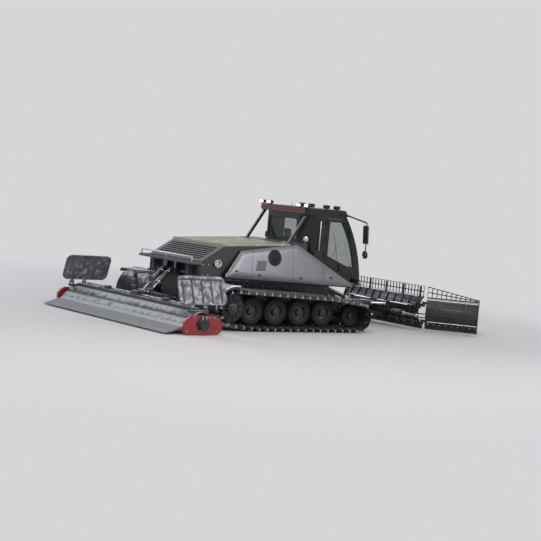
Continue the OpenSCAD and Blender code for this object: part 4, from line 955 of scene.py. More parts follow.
class GROOMER_OT_cab(bpy.types.Operator):
    """Window rubbers, wipers, door trim, roof trim, aerials and steps"""
    bl_idname = "groomer.cab"
    bl_label = "Cab"

    # the bulging front is part of a ball, as in the part's source; the front edge of the door's window is a
    # circle about the same middle
    nose = Vector((-1027, 0, 886))
    front_r, window_r = 3200, 2885
    # the windscreen's half width, its lower and its upper edge, and the upper edge of the door's window
    screen_half_w, screen_low, screen_high = 800, 1430, 2640
    window_high = 2575
    door_skin = 919

    def front(self, y, z, out=0):
        """A point on the bulging front, out from its face."""
        x = self.nose.x + math.sqrt(self.front_r ** 2 - (z - self.nose.z) ** 2 - y ** 2)
        p = Vector((x, y, z))
        return p + (p - self.nose).normalized() * out

    def window_front(self, z):
        """How far forward the door's window reaches at one height."""
        return self.nose.x + math.sqrt(self.window_r ** 2 - (z - self.nose.z) ** 2)

    def windscreen(self, rubber):
        form = Form()
        half_w, steps = self.screen_half_w, 16
        corners = [(-half_w, self.screen_low), (half_w, self.screen_low), (half_w, self.screen_high),
                   (-half_w, self.screen_high)]
        edge = []
        for (y, z), (v, w) in zip(corners, corners[1:] + corners[:1]):
            edge += [self.front(y + (v - y) * k / steps, z + (w - z) * k / steps) for k in range(steps)]
        form.tube([p - (p - self.nose).normalized() * 4 for p in edge], rubber, 8, closed=True, paint=0)
        form.tube([(199, y, z) for y, z in ((-560, 2080), (560, 2080), (560, 2580), (-560, 2580))], rubber, 8,
                  closed=True, paint=0)
        # each wiper: where its arm turns, and the foot of its blade
        for y, tip in ((-420, -760), (380, 40)):
            pivot, knee = self.front(y, 1452, 22), self.front(y + (tip - y) * 0.55, 1800, 34)
            form.turned([(-30, 22), (6, 22), (10, 14), (10, 0)], pivot, pivot - self.nose, 14, 0)
            form.tube([pivot, knee], 7, 6, paint=0)
            blade = [self.front(tip + 90 - 60 * k / 8, 1560 + 700 * k / 8, 16) for k in range(9)]
            form.tube(blade, 7, 6, paint=0)
            form.tube([knee, blade[4]], 6, 6, paint=0)
        finish_piece("windscreen_rubber_and_wipers", form, "chassis", ["rubber"])

    def door(self, name, side, rubber):
        """A gasket round the window, the handle's plate and lock, and the grab rail."""
        high, sill, skin = self.window_high, 1480, self.door_skin
        heights = [sill, *range(1550, high, 75), high]
        window = [(925, 1730), (1600, sill)] + [(self.window_front(z), z) for z in heights] + [(925, high)]
        form = Form()
        form.place = mirrored(side)
        form.tube([(x, skin, z) for x, z in window], rubber, 8, closed=True, paint=0)
        form.box(1290, 1370, skin, skin + 4, 1370, 1560, 0)
        form.turned([(0, 13), (5, 12), (5, 0)], (1330, skin + 4, 1580), OUTWARD, 16, 1)
        form.tube([(1700, skin + 2, 1300), (1480, skin + 2, 1300), (1420, skin + 2, 1320)], 5, 6, paint=0)
        finish_piece("door_" + name + "_trim", form, "door_" + name, ["rubber", "rail"])

    def shell_trim(self):
        """The roof's brown band at the rear, side glass, seams, grab rails, step treads and two aerials."""
        skin = self.door_skin + 2
        band, rubber, rail, glass, tread = range(5)
        form = Form()
        for side in form.both_sides():
            form.box(150, 162, 0, 880, 2722, 2838, band)
            form.box(146, 152, 0, 880, 2776, 2784, rubber)
            form.box(560, 830, skin - 1, skin + 2, 1240, 1480, glass)
            form.tube([(520, skin, 1200), (520, skin, 2660)], 4, 6, paint=rubber)
            form.tube([(260, 985, 1700), (260, 985, 1150)], 14, 10, paint=rail)
            form.box(900, 1180, 924, 1120, 1101, 1112, tread)
            form.box(1250, 1700, 924, 1120, 1101, 1112, tread)
        form.tube([(420, -520, ROOF_TOP), (418, -520, ROOF_TOP + 90)], 12, 8, paint=rubber)
        form.tube([(900, 600, ROOF_TOP - 2), (900, 600, ROOF_TOP + 85)], 5, 6, paint=rubber)
        finish_piece("cab_trim_and_steps", form, "chassis",
                     ["brown", "rubber", "rail", "glass", "deck"])

    def execute(self, context):
        rubber = context.scene.groomer_sizes.gasket / MM
        self.windscreen(rubber)
        for name, side in SIDES:
            self.door(name, side, rubber)
        self.shell_trim()
        return {"FINISHED"}


class GROOMER_OT_lamps(bpy.types.Operator):
    """Work lights with lit lenses, round lamps, head lamps and the mirrors' glasses"""
    bl_idname = "groomer.lamps"
    bl_label = "Lamps and mirrors"

    # the finishes of the lamps, by their place in the piece's list
    shell, lit, unlit, amber = range(4)
    # the rear and front row on the roof: how far forward, the places across, the turn in degrees and the lens
    rows = ((205, (-900, -600, 600, 900), 180, lit), (1280, (-700, -300, 300, 700), 0, unlit))
    mirror_turn = 8

    def work_light(self, form, lens):
        """Shell, lens, cooling fins, foot and guard bar, at the form's place."""
        form.prism([(-44, 20), (-26, 13), (40, 13), (45, 22), (45, 82), (40, 91), (-20, 91), (-44, 70)],
                   -84, 84, "y", self.shell)
        form.box(45, 47, -74, 74, 22, 82, lens)
        for k in range(5):
            form.box(-50, -40, -70 + 32 * k, -62 + 32 * k, 26, 66, self.shell)
        form.rod((0, 0, 0.5), (0, 0, 14), 18, 10, self.shell)
        form.tube([(5, -88, 50), (5, -88, 8), (5, 88, 8), (5, 88, 50)], 5, 6, paint=self.shell)

    def lamps(self):
        form = Form()
        for x, across, turn, lens in self.rows:
            for y in across:
                form.place = moved(x, y, ROOF_TOP) @ rotated(turn, "Z")
                self.work_light(form, lens)
        form.place = Matrix.Identity(4)
        for side in form.both_sides():
            mirror = form.place
            # a round lamp on the cab's rear corner, and the shell of the one in the housing's well
            form.place = mirror @ moved(350, 770, 2100) @ rotated(135, "Z") @ rotated(90, "Y")
            form.turned([(0.5, 0), (0.5, 50), (30, 74), (58, 76), (62, 70), (62, 66)], ORIGIN, UP, 32,
                        self.shell)
            form.turned([(56, 68), (60, 60), (63, 0)], ORIGIN, UP, 32, self.unlit)
            x, y, z = LAMP_WELL
            form.place = mirror @ moved(x, y + 0.3, z) @ rotated(-90, "X")
            form.turned([(0, 0), (0, 95), (50, 95), (50, 62), (14, 60), (14, 0)], ORIGIN, UP, 40, self.shell)
            # the head lamp with its turn signal
            form.place = mirror
            form.box(1780, 1866, 960, 1130, 1100.5, 1210, self.shell)
            form.box(1866, 1870, 970, 1120, 1115, 1198, self.unlit)
            form.box(1868, 1871, 975, 1010, 1120, 1193, self.amber)
        finish_piece("work_light_set", form, "chassis",
                     ["plastic", "lens", "dark_lens", "amber"], bevel=3, stands_for=["work_lights"])

    def mirrors(self):
        form = Form()
        for side in form.both_sides():
            kept = form.place
            form.place = kept @ moved(1800, 1290, 2100) @ rotated(self.mirror_turn, "Z") @ rotated(-4, "Y")
            form.box(-22, -20.2, -84, 84, 14, 426, 0)
            form.place = kept @ moved(1815, 1290, 1830) @ rotated(self.mirror_turn, "Z") @ rotated(84, "Y")
            form.turned([(-20.2, 82), (-22, 80), (-22, 0)], ORIGIN, UP, 32, 0)
        finish_piece("mirror_glasses", form, "chassis", ["mirror"])

    def execute(self, context):
        self.lamps()
        self.mirrors()
        return {"FINISHED"}


class GROOMER_OT_interior(bpy.types.Operator):
    """Upholstered seats on their bellows, the lever, the keys, the screen and the pedals"""
    bl_idname = "groomer.interior"
    bl_label = "Cab interior"

    def cushion(self, form, x0, x1, y0, y1, z0, z1, swell=22):
        """A crowned pad: a grid of points at three levels that bulges in the middle of the top one."""
        n = 6
        points, faces = [], []
        for level, (z, pull) in enumerate(((z0, 14), (z0 + (z1 - z0) * 0.5, 0), (z1 - 10, 8))):
            for a in range(n + 1):
                for b in range(n + 1):
                    u, v = a / n * 2 - 1, b / n * 2 - 1
                    inset = 1 - pull / 200 * max(abs(u), abs(v))
                    rise = swell * (1 - u * u) * (1 - v * v) + 6 if level == 2 else 0
                    points.append(((x0 + x1) / 2 + (x1 - x0) / 2 * u * inset,
                                   (y0 + y1) / 2 + (y1 - y0) / 2 * v * inset, z + rise))
        stride = (n + 1) ** 2

        def at(level, a, b):
            return level * stride + a * (n + 1) + b

        for a in range(n):
            for b in range(n):
                faces.append((at(2, a, b), at(2, a + 1, b), at(2, a + 1, b + 1), at(2, a, b + 1)))
                faces.append((at(0, a, b), at(0, a, b + 1), at(0, a + 1, b + 1), at(0, a + 1, b)))
        for level in (0, 1):
            for k in range(n):
                j = k + 1
                for a0, b0, a1, b1 in ((k, 0, j, 0), (k, n, j, n), (0, k, 0, j), (n, k, n, j)):
                    faces.append((at(level, a0, b0), at(level, a1, b1), at(level + 1, a1, b1),
                                  at(level + 1, a0, b0)))
        used = sorted({p for f in faces for p in f})
        order = {p: k for k, p in enumerate(used)}
        form.add([points[p] for p in used], [[order[p] for p in f] for f in faces], 0)

    def seats(self):
        pads, base = Form(), Form()
        back = rotated(-12, "Y")
        upright = rotated(90, "Y")
        for y in (340, -400):
            pads.place = moved(0, y, 0)
            self.cushion(pads, 745, 1265, -245, 245, 1400, 1498)
            pads.place = moved(800, y, 1500) @ back @ moved(-60, 0, 320) @ upright
            self.cushion(pads, -318, 318, -235, 235, 0, 92)
            pads.place = moved(668, y, 2110) @ back @ moved(-40, 0, 95) @ upright
            self.cushion(pads, -94, 94, -128, 128, 0, 54, swell=12)
            base.place = moved(0, y, 0)
            base.box(805, 1145, -145, 145, 1152, 1180, 0)
            # the bellows' folds are deeper and shallower by turns
            for k in range(5):
                fold = 4 * (k % 2)
                base.box(820 + fold, 1130 - fold, -135, 135, 1180 + 36 * k, 1212 + 36 * k, 1)
            base.box(790, 1200, -200, 200, 1362, 1398, 0)
            for s in (-1, 1):
                base.rod((720, s * 60, 2050), (690, s * 60, 2160), 8, 8, 2)
        seat = finish_piece("seat_cushions", pads, "chassis", ["fabric"], crown=True,
                            stands_for=["seats"])
        finish_piece("seat_bases", base, "chassis", ["plastic", "rubber", "rail"], bevel=4)

    def controls(self):
        screen, rubber, metal, amber = range(4)
        form = Form()
        form.box(1556.5, 1559.5, 575, 785, 1915, 2065, screen)
        form.turned([(0, 30), (12, 34), (60, 30), (96, 20), (100, 0)], (1190, -15, 1755), UP, 20,
                    rubber)
        # rows of keys, every third one amber
        for k in range(4):
            for j in range(3):
                form.turned([(0, 9), (5, 8), (5, 0)], (950 + 46 * k, -45 + 30 * j, 1620), UP, 12,
                            metal if (k + j) % 3 else amber)
        for y in (200, 330, 460):
            form.box(1640, 1690, y - 40, y + 40, 1165, 1260, rubber)
        form.box(1765, 1940, -330, 330, 1462, 1476, rubber)
        for y in (-200, -60, 80, 220):
            form.disc(40, 8, (1850, y, 1470), (-0.2, 0, 1), 20, screen)
        finish_piece("screen_lever_and_pedals", form, "chassis",
                     ["screen", "rubber", "rail", "amber"], bevel=2)

    def execute(self, context):
        self.seats()
        self.controls()
        return {"FINISHED"}


class GROOMER_OT_blade(bpy.types.Operator):
    """Cutting edges, ribs, rails, bolts and pipes of the blade, its wings and its frames"""
    bl_idname = "groomer.blade"
    bl_label = "Blade"

    # the hollow of the blade's front, as in the part's source: its middle, its radius and that of the back
    hollow_x, hollow_z = 4230, 470
    front_r, back_r = 570, 601
    # the two hinge lugs of a wing, by height
    lugs = (230, 680)

    def hollow(self, z, r=front_r):
        return self.hollow_x - math.sqrt(r ** 2 - (z - self.hollow_z) ** 2)

    def board_details(self, form, y0, y1, top, rib_inset):
        """Ribs along the back, the rail on top, a pipe, the edge and its bolts, between two lengths."""
        back_x = self.hollow(250, self.back_r) - 12
        back = [(self.hollow(z, self.back_r), z) for z in range(120, int(top), 60)]
        rib = [(x + 4, z) for x, z in back] + [(x - 34, z) for x, z in reversed(back)]
        count = max(2, round((y1 - y0) / 330))
        for k in range(count + 1):
            y = y0 + rib_inset + (y1 - y0 - 2 * rib_inset) * k / count
            form.prism(rib, y - 6, y + 6, "y", 0)
        rail_x = self.hollow(850) - 15
        form.rod((rail_x, y0 + 2, top), (rail_x, y1 - 2, top), 30, 16, 1)
        form.tube([(back_x, y0 + 4, 250), (back_x, y1 - 4, 250)], 13, 8, paint=1)
        for k in range(round((y1 - y0) / 150)):
            y = y0 + 75 + 150 * k
            if y < y1 - 30:
                form.bolt((self.hollow(135) + 4, y, 135), (1, 0, 0.3), 26, 2)
                form.bolt((self.hollow(190, 600) - 2, y, 190), (-1, 0, -0.3), 26, 2)
        edge = self.hollow(80)
        form.prism([(edge - 32, 58), (edge - 32, 50.5), (edge + 24, 50.5), (edge + 24, 58), (edge + 10, 190),
                    (edge + 4, 190)], y0 + 1, y1 - 1, "y", 1)

    def moldboard(self):
        form = Form()
        # the outer ribs stand clear of the horns of the wings when these fold back
        self.board_details(form, -1405, 1405, 850, 112)
        for side in form.both_sides():
            x, y = WING_HINGE[:2]
            for z in self.lugs:
                form.disc(30, 6, (x, y, z + 61), UP, 16, 2)
                form.disc(44, 7, (x, y, z - 60), (0, 0, -1), 16, 2)
            for y, way in CHEEKS:
                form.disc(26, 14, (3480, y, 300), (0, way, 0), 16, 2)
            form.tube([(3560, 420, 620), (3560, 900, 640), (3580, 1250, 640)], 9, 8, paint=3)
        form.tube([(3555, -1100, 618), (3555, 1100, 618)], 12, 8, paint=3)
        finish_piece("moldboard_ribs_and_edge", form, "moldboard",
                     ["blade", "wear", "bolt", "rail"])

    def wing(self, name, side):
        x = WING_HINGE[0]
        form = Form()
        form.place = mirrored(side) @ moved(*WING_HINGE) @ rotated(WING_FOLD, "Z") @ moved(-x, 0, 0)
        self.board_details(form, 78, 1388, 790, 15)
        for z in self.lugs:
            form.disc(30, 8, (x, 0, z + 60), UP, 16, 2)
        for z in (120, 300, 480, 660):
            form.bolt((3700, 1390, z), OUTWARD, 26, 2)
        finish_piece("wing_" + name + "_ribs_and_edge", form, "wing_" + name,
                     ["blade", "wear", "bolt"])

    def lift_frame(self):
        form = Form()
        for side in form.both_sides():
            for y, way in CHEEKS:
                form.disc(36, 26, (1600, y + way * 25, 480), (0, way, 0), 20, 1)
            for y, z in ((380, 545), (360, 548)):
                form.tube([(1700, y, z), (2300, y, z + 5), (2720, y, z + 5)], 11, 8, paint=2)
            for x in (1800, 2250, 2680):
                form.box(x - 18, x + 18, 348, 392, 538, 566, 1)
            for x in (2060, 2120):
                form.bolt((x, 180, 530), UP, 30, 1)
        form.disc(60, 10, (3000, 0, 560), UP, 20, 1)
        finish_piece("lift_frame_pins_and_pipes", form, "blade_lift",
                     ["blade", "bolt", "rail"])

    def turn_and_tilt_frames(self):
        form = Form()
        form.turned([(0, 70), (18, 70), (24, 60), (24, 0)], (3000, 0, 600.5), UP, 24, 0)
        form.bolt_circle((3000, 0, 600.3), Z, 88, 6, 28)
        for side in form.both_sides():
            form.disc(26, 10, (3120, 700, 660), UP, 16)
            for y in (260, 420, 560):
                form.bolt((3210, y, 540), UP, 26, 0)
        finish_piece("turn_frame_bolts", form, "blade_turn", ["bolt"])
        form = Form()
        form.bolt_circle((3400, 0, 480), X, 168, 8, 28, start=math.degrees(0.2))
        finish_piece("tilt_frame_bolts", form, "blade_tilt", ["bolt"])

    def execute(self, context):
        self.moldboard()
        for name, side in SIDES:
            self.wing(name, side)
        self.lift_frame()
        self.turn_and_tilt_frames()
        return {"FINISHED"}


class GROOMER_OT_rams(bpy.types.Operator):
    """Gland nuts, welds, ports and pipes of the cylinders"""
    bl_idname = "groomer.rams"
    bl_label = "Cylinders"

    barrel_r = 45

    def fittings(self, form, foot, way, length):
        """A gland nut, a foot weld, two ports and the pipe between them along a barrel."""
        r = self.barrel_r
        foot, way = Vector(foot), Vector(way).normalized()
        tip = foot + way * length
        form.turned([(-34, r), (-34, r + 8), (0, r + 8), (4, r), (4, 29), (-4, 29)], tip, way, 24, 1)
        form.turned([(64, r), (64, r + 5), (84, r + 5), (84, r)], foot, way, 24, 1)
        up = (Vector(UP) - way * way.z).normalized()
        port = [(r - 6, 16), (r + 14, 16), (r + 14, 10), (r + 24, 10), (r + 24, 0)]
        for d in (105, length - 60):
            form.turned(port, foot + way * d, up, 12, 1)
        pipe = ((105, 18), (150, 18), (length - 100, 14), (length - 60, 18))
        form.tube([foot + way * d + up * (r + clear) for d, clear in pipe], 7, 8, paint=1)

    def execute(self, context):
        # each pair on one body: where a barrel starts, its direction and its length
        pairs = (("blade_lift", (1530, 200, 905), (920, 0, -320), 720),
                 ("tiller_lift", (-3050, 150, 1190), (-550, 0, -550), 440))
        for name, foot, way, length in pairs:
            form = Form()
            for side in form.both_sides():
                self.fittings(form, foot, way, length)
            finish_piece(name + "_cylinder_fittings", form, name + "_barrels",
                         ["barrel", "bolt"])
        singles = (("angle", (1900, 470, 600), (1220, 230, 0), 850),
                   ("wing", (3480, 560, 400), (-15, 970, 0), 540))
        for name, side in SIDES:
            for kind, foot, way, length in singles:
                form = Form()
                form.place = mirrored(side)
                self.fittings(form, foot, way, length)
                finish_piece(kind + "_cylinder_" + name + "_fittings", form, kind + "_barrel_" + name,
                             ["barrel", "bolt"])
        return {"FINISHED"}


class GROOMER_OT_tiller(bpy.types.Operator):
    """Toothed rotor, combed finisher mats, bolts and lift frame details of the tiller"""
    bl_idname = "groomer.tiller"
    bl_label = "Tiller"

    # the finisher's sheet from its hinge to its tip: x and z
    sheet = [(-4128, 331), (-4200, 262), (-4280, 190), (-4330, 150), (-4420, 112), (-4520, 84), (-4640, 56),
             (-4738, 36)]
    mat_strips = 24
    # the top of the housing's beam, and the two pipes that run along it
    beam_top, pipes = 560, (-3780, -3815)

    def rotor(self):
        half_w, last = 2739, 2700
        x, z = ROTOR
        form = Form()
        form.turned([(0, 0), (0, 98), (2 * half_w, 98), (2 * half_w, 0)], (x, -half_w, z), OUTWARD, 32, 0)
        rows = 150
        for k in range(rows):
            y = 2 * last * k / (rows - 1) - last
            # three teeth in each row, and each row a little further round than the one before
            for turn in (0, 120, 240):
                form.place = moved(x, y, z) @ rotated(turn + k * 17, "Y")
                form.prism([(-22, 94), (22, 94), (14, 190), (4, 197), (-10, 160)], -5, 5, "y", 1)
        finish_piece("toothed_rotor", form, "tiller_rotor", ["tiller", "wear"],
                     stands_for=["tiller_rotor"])

    def mats(self):
        half_w, gap, combs = MAT_HALF_W, 3, 6
        width = 2 * half_w / self.mat_strips
        section = [(x, z + 11) for x, z in self.sheet] + [(x, z - 9) for x, z in reversed(self.sheet)]
        form = Form()
        for k in range(self.mat_strips):
            y0 = k * width - half_w + gap
            y1 = y0 + width - 2 * gap
            form.prism(section, y0, y1, "y", 0)
            for j in range(combs):
                y = y0 + (j + 0.5) * (y1 - y0) / combs
                form.prism([(-4330, 158), (-4340, 176), (-4560, 98), (-4736, 50), (-4738, 38), (-4560, 74)],
                           y - 9, y + 9, "y", 0)
            form.box(-4190, -4168, y0 + 8, y1 - 8, 252, 262, 1)
        form.rod((-4125, -half_w, 335), (-4125, half_w, 335), 13.6, 12, 1)
        form.prism([(-4150, 320), (-4142, 334), (-4240, 250), (-4250, 236)], -half_w, half_w, "y", 1)
        finish_piece("finisher_mats", form, "finisher", ["mat", "tiller"],
                     stands_for=["finisher"])

    def cover(self):
        """Ribs round the housing, lugs and pipes along its beam, and the motors' details."""
        steel, bolts, pipe = range(3)
        ribs, last = 18, 2450
        outer = [around(ROTOR, 262, a) for a in range(8, 173, 12)]
        inner = [around(ROTOR, 254, a) for a in range(172, 7, -12)]
        form = Form()
        for k in range(ribs):
            y = 2 * last * k / (ribs - 1) - last
            form.prism(outer + inner, y - 5, y + 5, "y", steel)
            form.bolt((-3760, y + 60, 520), FORWARD, 24, bolts)
        for y in (-1500, -750, 750, 1500):
            form.box(-3935, -3765, y - 60, y + 60, self.beam_top, self.beam_top + 12, steel)
            for x in (-3910, -3790):
                for off in (-30, 30):
                    form.bolt((x, y + off, self.beam_top + 12), UP, 28, bolts)
        for x in self.pipes:
            form.tube([(x, -2300, 590), (x, 2300, 590)], 12, 8, paint=pipe)
        for y in range(-2200, 2201, 550):
            form.box(-3835, -3760, y - 14, y + 14, self.beam_top - 2, 604, bolts)
        for side in form.both_sides():
            self.motor(form, steel, bolts, pipe)
        finish_piece("tiller_cover_ribs_and_pipes", form, "tiller",
                     ["tiller", "bolt", "rail"])

    def motor(self, form, steel, bolts, pipe):
        """A motor's cooling fins and flange bolts, and its two pipe unions with their bent pipes."""
        x, z = ROTOR
        flange, union = PLATE_OUT + 20, PLATE_OUT + 50
        for k in range(4):
            form.turned([(0, 118), (0, 126), (6, 126), (6, 118)], (x, flange + 8 + 14 * k, z), OUTWARD, 28,
                        steel)
        form.bolt_circle((x, flange, z), Y, 136, 8, 20, bolts, start=22.5)
        for x in (-3895, -3805):
            form.disc(19, 30, (x, union, 350), UP, 6, bolts)
            form.tube([(x, union, 370), (x, union, 396), (x, union - 10, 406), (x, PLATE_OUT - 4, 406)],
                      11, 10, paint=pipe)

    def end_plates(self):
        form = Form()
        for side in form.both_sides():
            for x, z in ((-4250, 100), (-4250, 380), (-3480, 100), (-3560, 380), (-4080, 390), (-3700, 390)):
                form.bolt((x, PLATE_OUT, z), OUTWARD, 26, 0)
        finish_piece("end_plate_bolts", form, "tiller", ["bolt"])

    def lift_frame(self):
        arm_y = 330
        form = Form()
        for side in form.both_sides():
            for y, way in CHEEKS:
                form.disc(36, 26, (-2980, y + way * 26, 500), (0, way, 0), 20, 1)
            form.tube([(-3100, arm_y, 590), (-3500, arm_y, 650), (-3640, arm_y, 700)], 12, 8, paint=2)
            # clamps up the tower, which leans back by 0.15 of its height over 600
            for z in (750, 900, 1050):
                back = (z - 600) * 0.15
                form.box(-3735 - back, -3640 - back, arm_y - 32, arm_y + 32, z - 8, z + 8, 1)
            form.bolt((-3900, arm_y, 1150), UP, 30, 1)
        finish_piece("tiller_frame_pins_and_pipes", form, "tiller_lift",
                     ["tiller", "bolt", "rail"])

    def side_finisher(self, name, side):
        form = Form()
        form.place = mirrored(side) @ moved(*SIDE_FINISHER_HINGE) @ rotated(SIDE_FINISHER_LEAN, "X")
        for x in range(-4250, -3249, 250):
            form.box(x - 18, x + 18, 15, 27, 90, 640, 0)
        form.box(-4300, -3170, 15, 22, 600, 640, 0)
        for k in range(22):
            x = -4320 + 54 * k
            form.prism([(x, 640), (x + 34, 640), (x + 17, 698)], -24, -15, "y", 1)
        finish_piece("side_finisher_" + name + "_ribs", form, "side_finisher_" + name,
                     ["tiller", "wear"])

    def execute(self, context):
        self.rotor()
        self.mats()
        self.cover()
        self.end_plates()
        self.lift_frame()
        for name, side in SIDES:
            self.side_finisher(name, side)
        return {"FINISHED"}


class GROOMER_OT_chassis(bpy.types.Operator):
    """Mudguard lips and ribs, the chassis's bolts, pipes and red rear lamps"""
    bl_idname = "groomer.chassis"
    bl_label = "Chassis details"

    def mudguards(self):
        lips, ribs = range(2)

        def bow(r, y, degrees):
            """A line round the sprocket, over the guard."""
            return [(x, y, z) for x, z in (around(SPROCKET, r, a) for a in degrees)]

        form = Form()
        for side in form.both_sides():
            for r in (524, 509):
                form.tube(bow(r, 2136, range(78, 184, 5)), 8, 6, paint=lips)
            for y in range(700, 1901, 300):
                form.tube(bow(525, y, range(80, 184, 8)), 7, 6, paint=ribs)
        finish_piece("mudguard_lips", form, "chassis", ["rail", "guard"])

    def frame_details(self):
        bolts, pipe, red = range(3)
        form = Form()
        for side in form.both_sides():
            for x in range(-2700, 1800, 300):
                form.bolt((x, 1150, 1100), UP, 22, bolts)
            for x in (-2600, -2000, -1300, -600, 100, 800, 1350):
                form.bolt((x, 470, 900), OUTWARD, 26, bolts)
            for z in (400, 700, 950):
                form.bolt((-2900, 380, z), (-1, 0, 0), 30, bolts)
                form.bolt((1450, 380, z), FORWARD, 30, bolts)
            form.tube([(-2990, 220, 1110), (-2990, 220, 1380), (-2940, 200, 1398)], 12, 8, paint=pipe)
            form.tube([(-2960, 190, 1105), (-2960, 190, 1385)], 12, 8, paint=pipe)
            form.box(-3145, -3135, 850, 1050, 1405, 1455, red)
        finish_piece("chassis_bolts_and_pipes", form, "chassis",
                     ["bolt", "rail", "red_lens"])

    def execute(self, context):
        self.mudguards()
        self.frame_details()
        return {"FINISHED"}


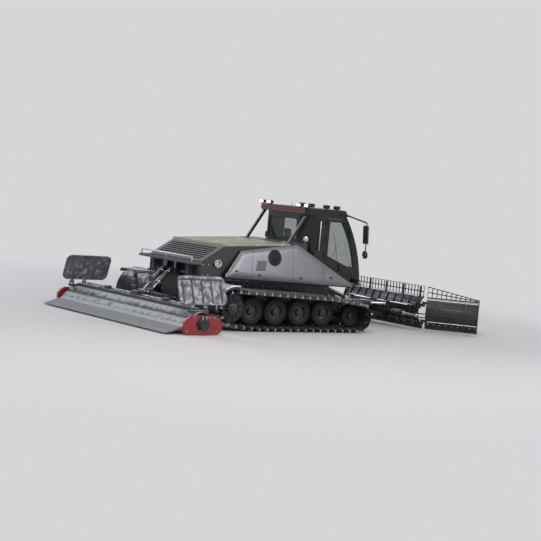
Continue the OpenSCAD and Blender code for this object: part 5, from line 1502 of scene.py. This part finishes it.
class GROOMER_OT_stage(bpy.types.Operator):
    """Pale floor, soft studio light and the camera at the photograph's viewing angle"""
    bl_idname = "groomer.stage"
    bl_label = "Stage"

    # the floor's half width, and where it fades into the backdrop, in metres from the machine's middle
    floor_half, fade_from, fade_to = 400, 6.5, 17
    # each lamp's name, place in metres, width in metres, power in watts and colour
    lamps = (("key", (-11, -13, 13), 9, 1500, "#fff6ea"), ("fill", (6, -16, 7), 8, 620, "#f1f4ff"),
             ("rim", (-8, 14, 10), 8, 800, "#f4f6ff"), ("front", (16, 2, 8), 7, 450, "#ffffff"))
    lamps_aim = Vector((0, 0, 1))
    # the photograph's view: degrees round the machine, down and of tilt; what it looks at and how far away
    turn, down, tilt = 37.2, 3.5, -5.1
    aim, distance = Vector((-0.05, 0, 1.25)), 36.7

    def looked_at(self, tree):
        """1 for a ray from the camera, from a reflection or through glass; 0 for a ray that carries light."""
        rays = put(tree, "LightPath")
        seen = put(tree, "Math", operation="MAXIMUM",
                   links={0: rays.outputs["Is Camera Ray"], 1: rays.outputs["Is Glossy Ray"]})
        every = put(tree, "Math", operation="MAXIMUM",
                    links={0: seen.outputs["Value"], 1: rays.outputs["Is Transmission Ray"]})
        return every.outputs["Value"]

    def floor(self, scene, backdrop):
        half = self.floor_half
        floor = bpy.data.meshes.new("floor")
        floor.from_pydata([(-half, -half, 0), (half, -half, 0), (half, half, 0), (-half, half, 0)], [],
                          [(0, 1, 2, 3)])
        ground = bpy.data.objects.new("floor", floor)
        scene.collection.objects.link(ground)
        pale = surface("pale floor", list(scene.groomer_colours.floor), mottle=0.02, rough=0.9, grain=0.0)
        floor.materials.append(pale)
        # far away the floor turns into the backdrop's plain colour, for the eye and for reflections only
        tree = pale.node_tree
        output = next(n for n in tree.nodes if n.type == "OUTPUT_MATERIAL")
        skin = next(n for n in tree.nodes if n.type == "BSDF_PRINCIPLED")
        place = put(tree, "TexCoord")
        far = put(tree, "VectorMath", operation="LENGTH", links={0: place.outputs["Object"]})
        fade = put(tree, "MapRange", interpolation_type="SMOOTHSTEP",
                   values={"From Min": self.fade_from, "From Max": self.fade_to, "To Min": 0, "To Max": 1},
                   links={"Value": far.outputs["Value"]})
        share = put(tree, "Math", operation="MULTIPLY",
                    links={0: fade.outputs["Result"], 1: self.looked_at(tree)})
        plain = put(tree, "Emission", values={"Color": backdrop, "Strength": 1.0})
        both = put(tree, "MixShader", links={0: share.outputs["Value"], 1: skin.outputs["BSDF"],
                                             2: plain.outputs["Emission"]})
        tree.links.new(both.outputs["Shader"], output.inputs["Surface"])

    def studio(self, scene, backdrop):
        """A world that lights the machine evenly, and shows the backdrop's colour to the eye."""
        world = bpy.data.worlds.new("studio")
        scene.world = world
        world.use_nodes = True
        tree = world.node_tree
        tree.nodes.clear()
        light = put(tree, "Background", values={"Color": linear("#e9eaee") + [1], "Strength": 0.42})
        back = put(tree, "Background", values={"Color": backdrop, "Strength": 1.0})
        share = put(tree, "MixShader", links={0: self.looked_at(tree), 1: light.outputs["Background"],
                                              2: back.outputs["Background"]})
        put(tree, "OutputWorld", links={"Surface": share.outputs["Shader"]})

    def lights(self, scene):
        for name, spot, size, power, tone in self.lamps:
            data = bpy.data.lights.new(name, "AREA")
            data.size, data.energy, data.color = size, power, linear(tone)
            lamp = bpy.data.objects.new(name, data)
            scene.collection.objects.link(lamp)
            lamp.location = spot
            lamp.rotation_euler = (self.lamps_aim - Vector(spot)).to_track_quat("-Z", "Y").to_euler()
            # a bare square of lamp in the windscreen reads as a fault in the glass
            lamp.visible_glossy = name != "front"

    def camera(self, scene):
        data = bpy.data.cameras.new("camera")
        data.sensor_width, data.lens = 36, scene.groomer_sizes.lens
        data.clip_end = 1000
        camera = bpy.data.objects.new("camera", data)
        scene.collection.objects.link(camera)
        a, e, r = math.radians(self.turn), math.radians(self.down), math.radians(self.tilt)
        look = Vector((math.sin(a) * math.cos(e), math.cos(a) * math.cos(e), -math.sin(e)))
        right = Vector((math.cos(a), -math.sin(a), 0))
        down = look.cross(right)
        right, down = right * math.cos(r) + down * math.sin(r), down * math.cos(r) - right * math.sin(r)
        spot = self.aim - look * self.distance
        camera.matrix_world = Matrix((
            (right.x, -down.x, -look.x, spot.x), (right.y, -down.y, -look.y, spot.y),
            (right.z, -down.z, -look.z, spot.z), (0, 0, 0, 1)))
        scene.camera = camera

    def execute(self, context):
        scene = context.scene
        scene.view_settings.view_transform = "Standard"
        backdrop = list(scene.groomer_colours.backdrop) + [1]
        self.floor(scene, backdrop)
        self.studio(scene, backdrop)
        self.lights(scene)
        self.camera(scene)
        return {"FINISHED"}


class GROOMER_PT_sidebar(bpy.types.Panel):
    """Groomer's steps, colours and sizes"""
    bl_idname = "GROOMER_PT_sidebar"
    bl_label = "Piste groomer"
    bl_space_type = "VIEW_3D"
    bl_region_type = "UI"
    bl_category = "Groomer"

    def draw(self, context):
        for step in STEPS:
            self.layout.operator(step.bl_idname)
        for group in (context.scene.groomer_colours, context.scene.groomer_sizes):
            for name in group.__annotations__:
                self.layout.prop(group, name)


STEPS = (GROOMER_OT_stage, GROOMER_OT_finishes, GROOMER_OT_tracks, GROOMER_OT_wheels, GROOMER_OT_panels,
         GROOMER_OT_hood, GROOMER_OT_cab, GROOMER_OT_lamps, GROOMER_OT_interior, GROOMER_OT_blade,
         GROOMER_OT_rams, GROOMER_OT_tiller, GROOMER_OT_chassis)
CLASSES = (GroomerColours, GroomerSizes) + STEPS + (GROOMER_PT_sidebar,)


def register():
    for made in CLASSES:
        bpy.utils.register_class(made)
    bpy.types.Scene.groomer_colours = bpy.props.PointerProperty(type=GroomerColours)
    bpy.types.Scene.groomer_sizes = bpy.props.PointerProperty(type=GroomerSizes)


def unregister():
    del bpy.types.Scene.groomer_sizes
    del bpy.types.Scene.groomer_colours
    for made in reversed(CLASSES):
        bpy.utils.unregister_class(made)


def main():
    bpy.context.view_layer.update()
    register()
    bpy.ops.groomer.stage()
    bpy.ops.groomer.finishes()
    bpy.ops.groomer.tracks()
    bpy.ops.groomer.wheels()
    bpy.ops.groomer.panels()
    bpy.ops.groomer.hood()
    bpy.ops.groomer.cab()
    bpy.ops.groomer.lamps()
    bpy.ops.groomer.interior()
    bpy.ops.groomer.blade()
    bpy.ops.groomer.rams()
    bpy.ops.groomer.tiller()
    bpy.ops.groomer.chassis()


if __name__ == "__main__":
    main()
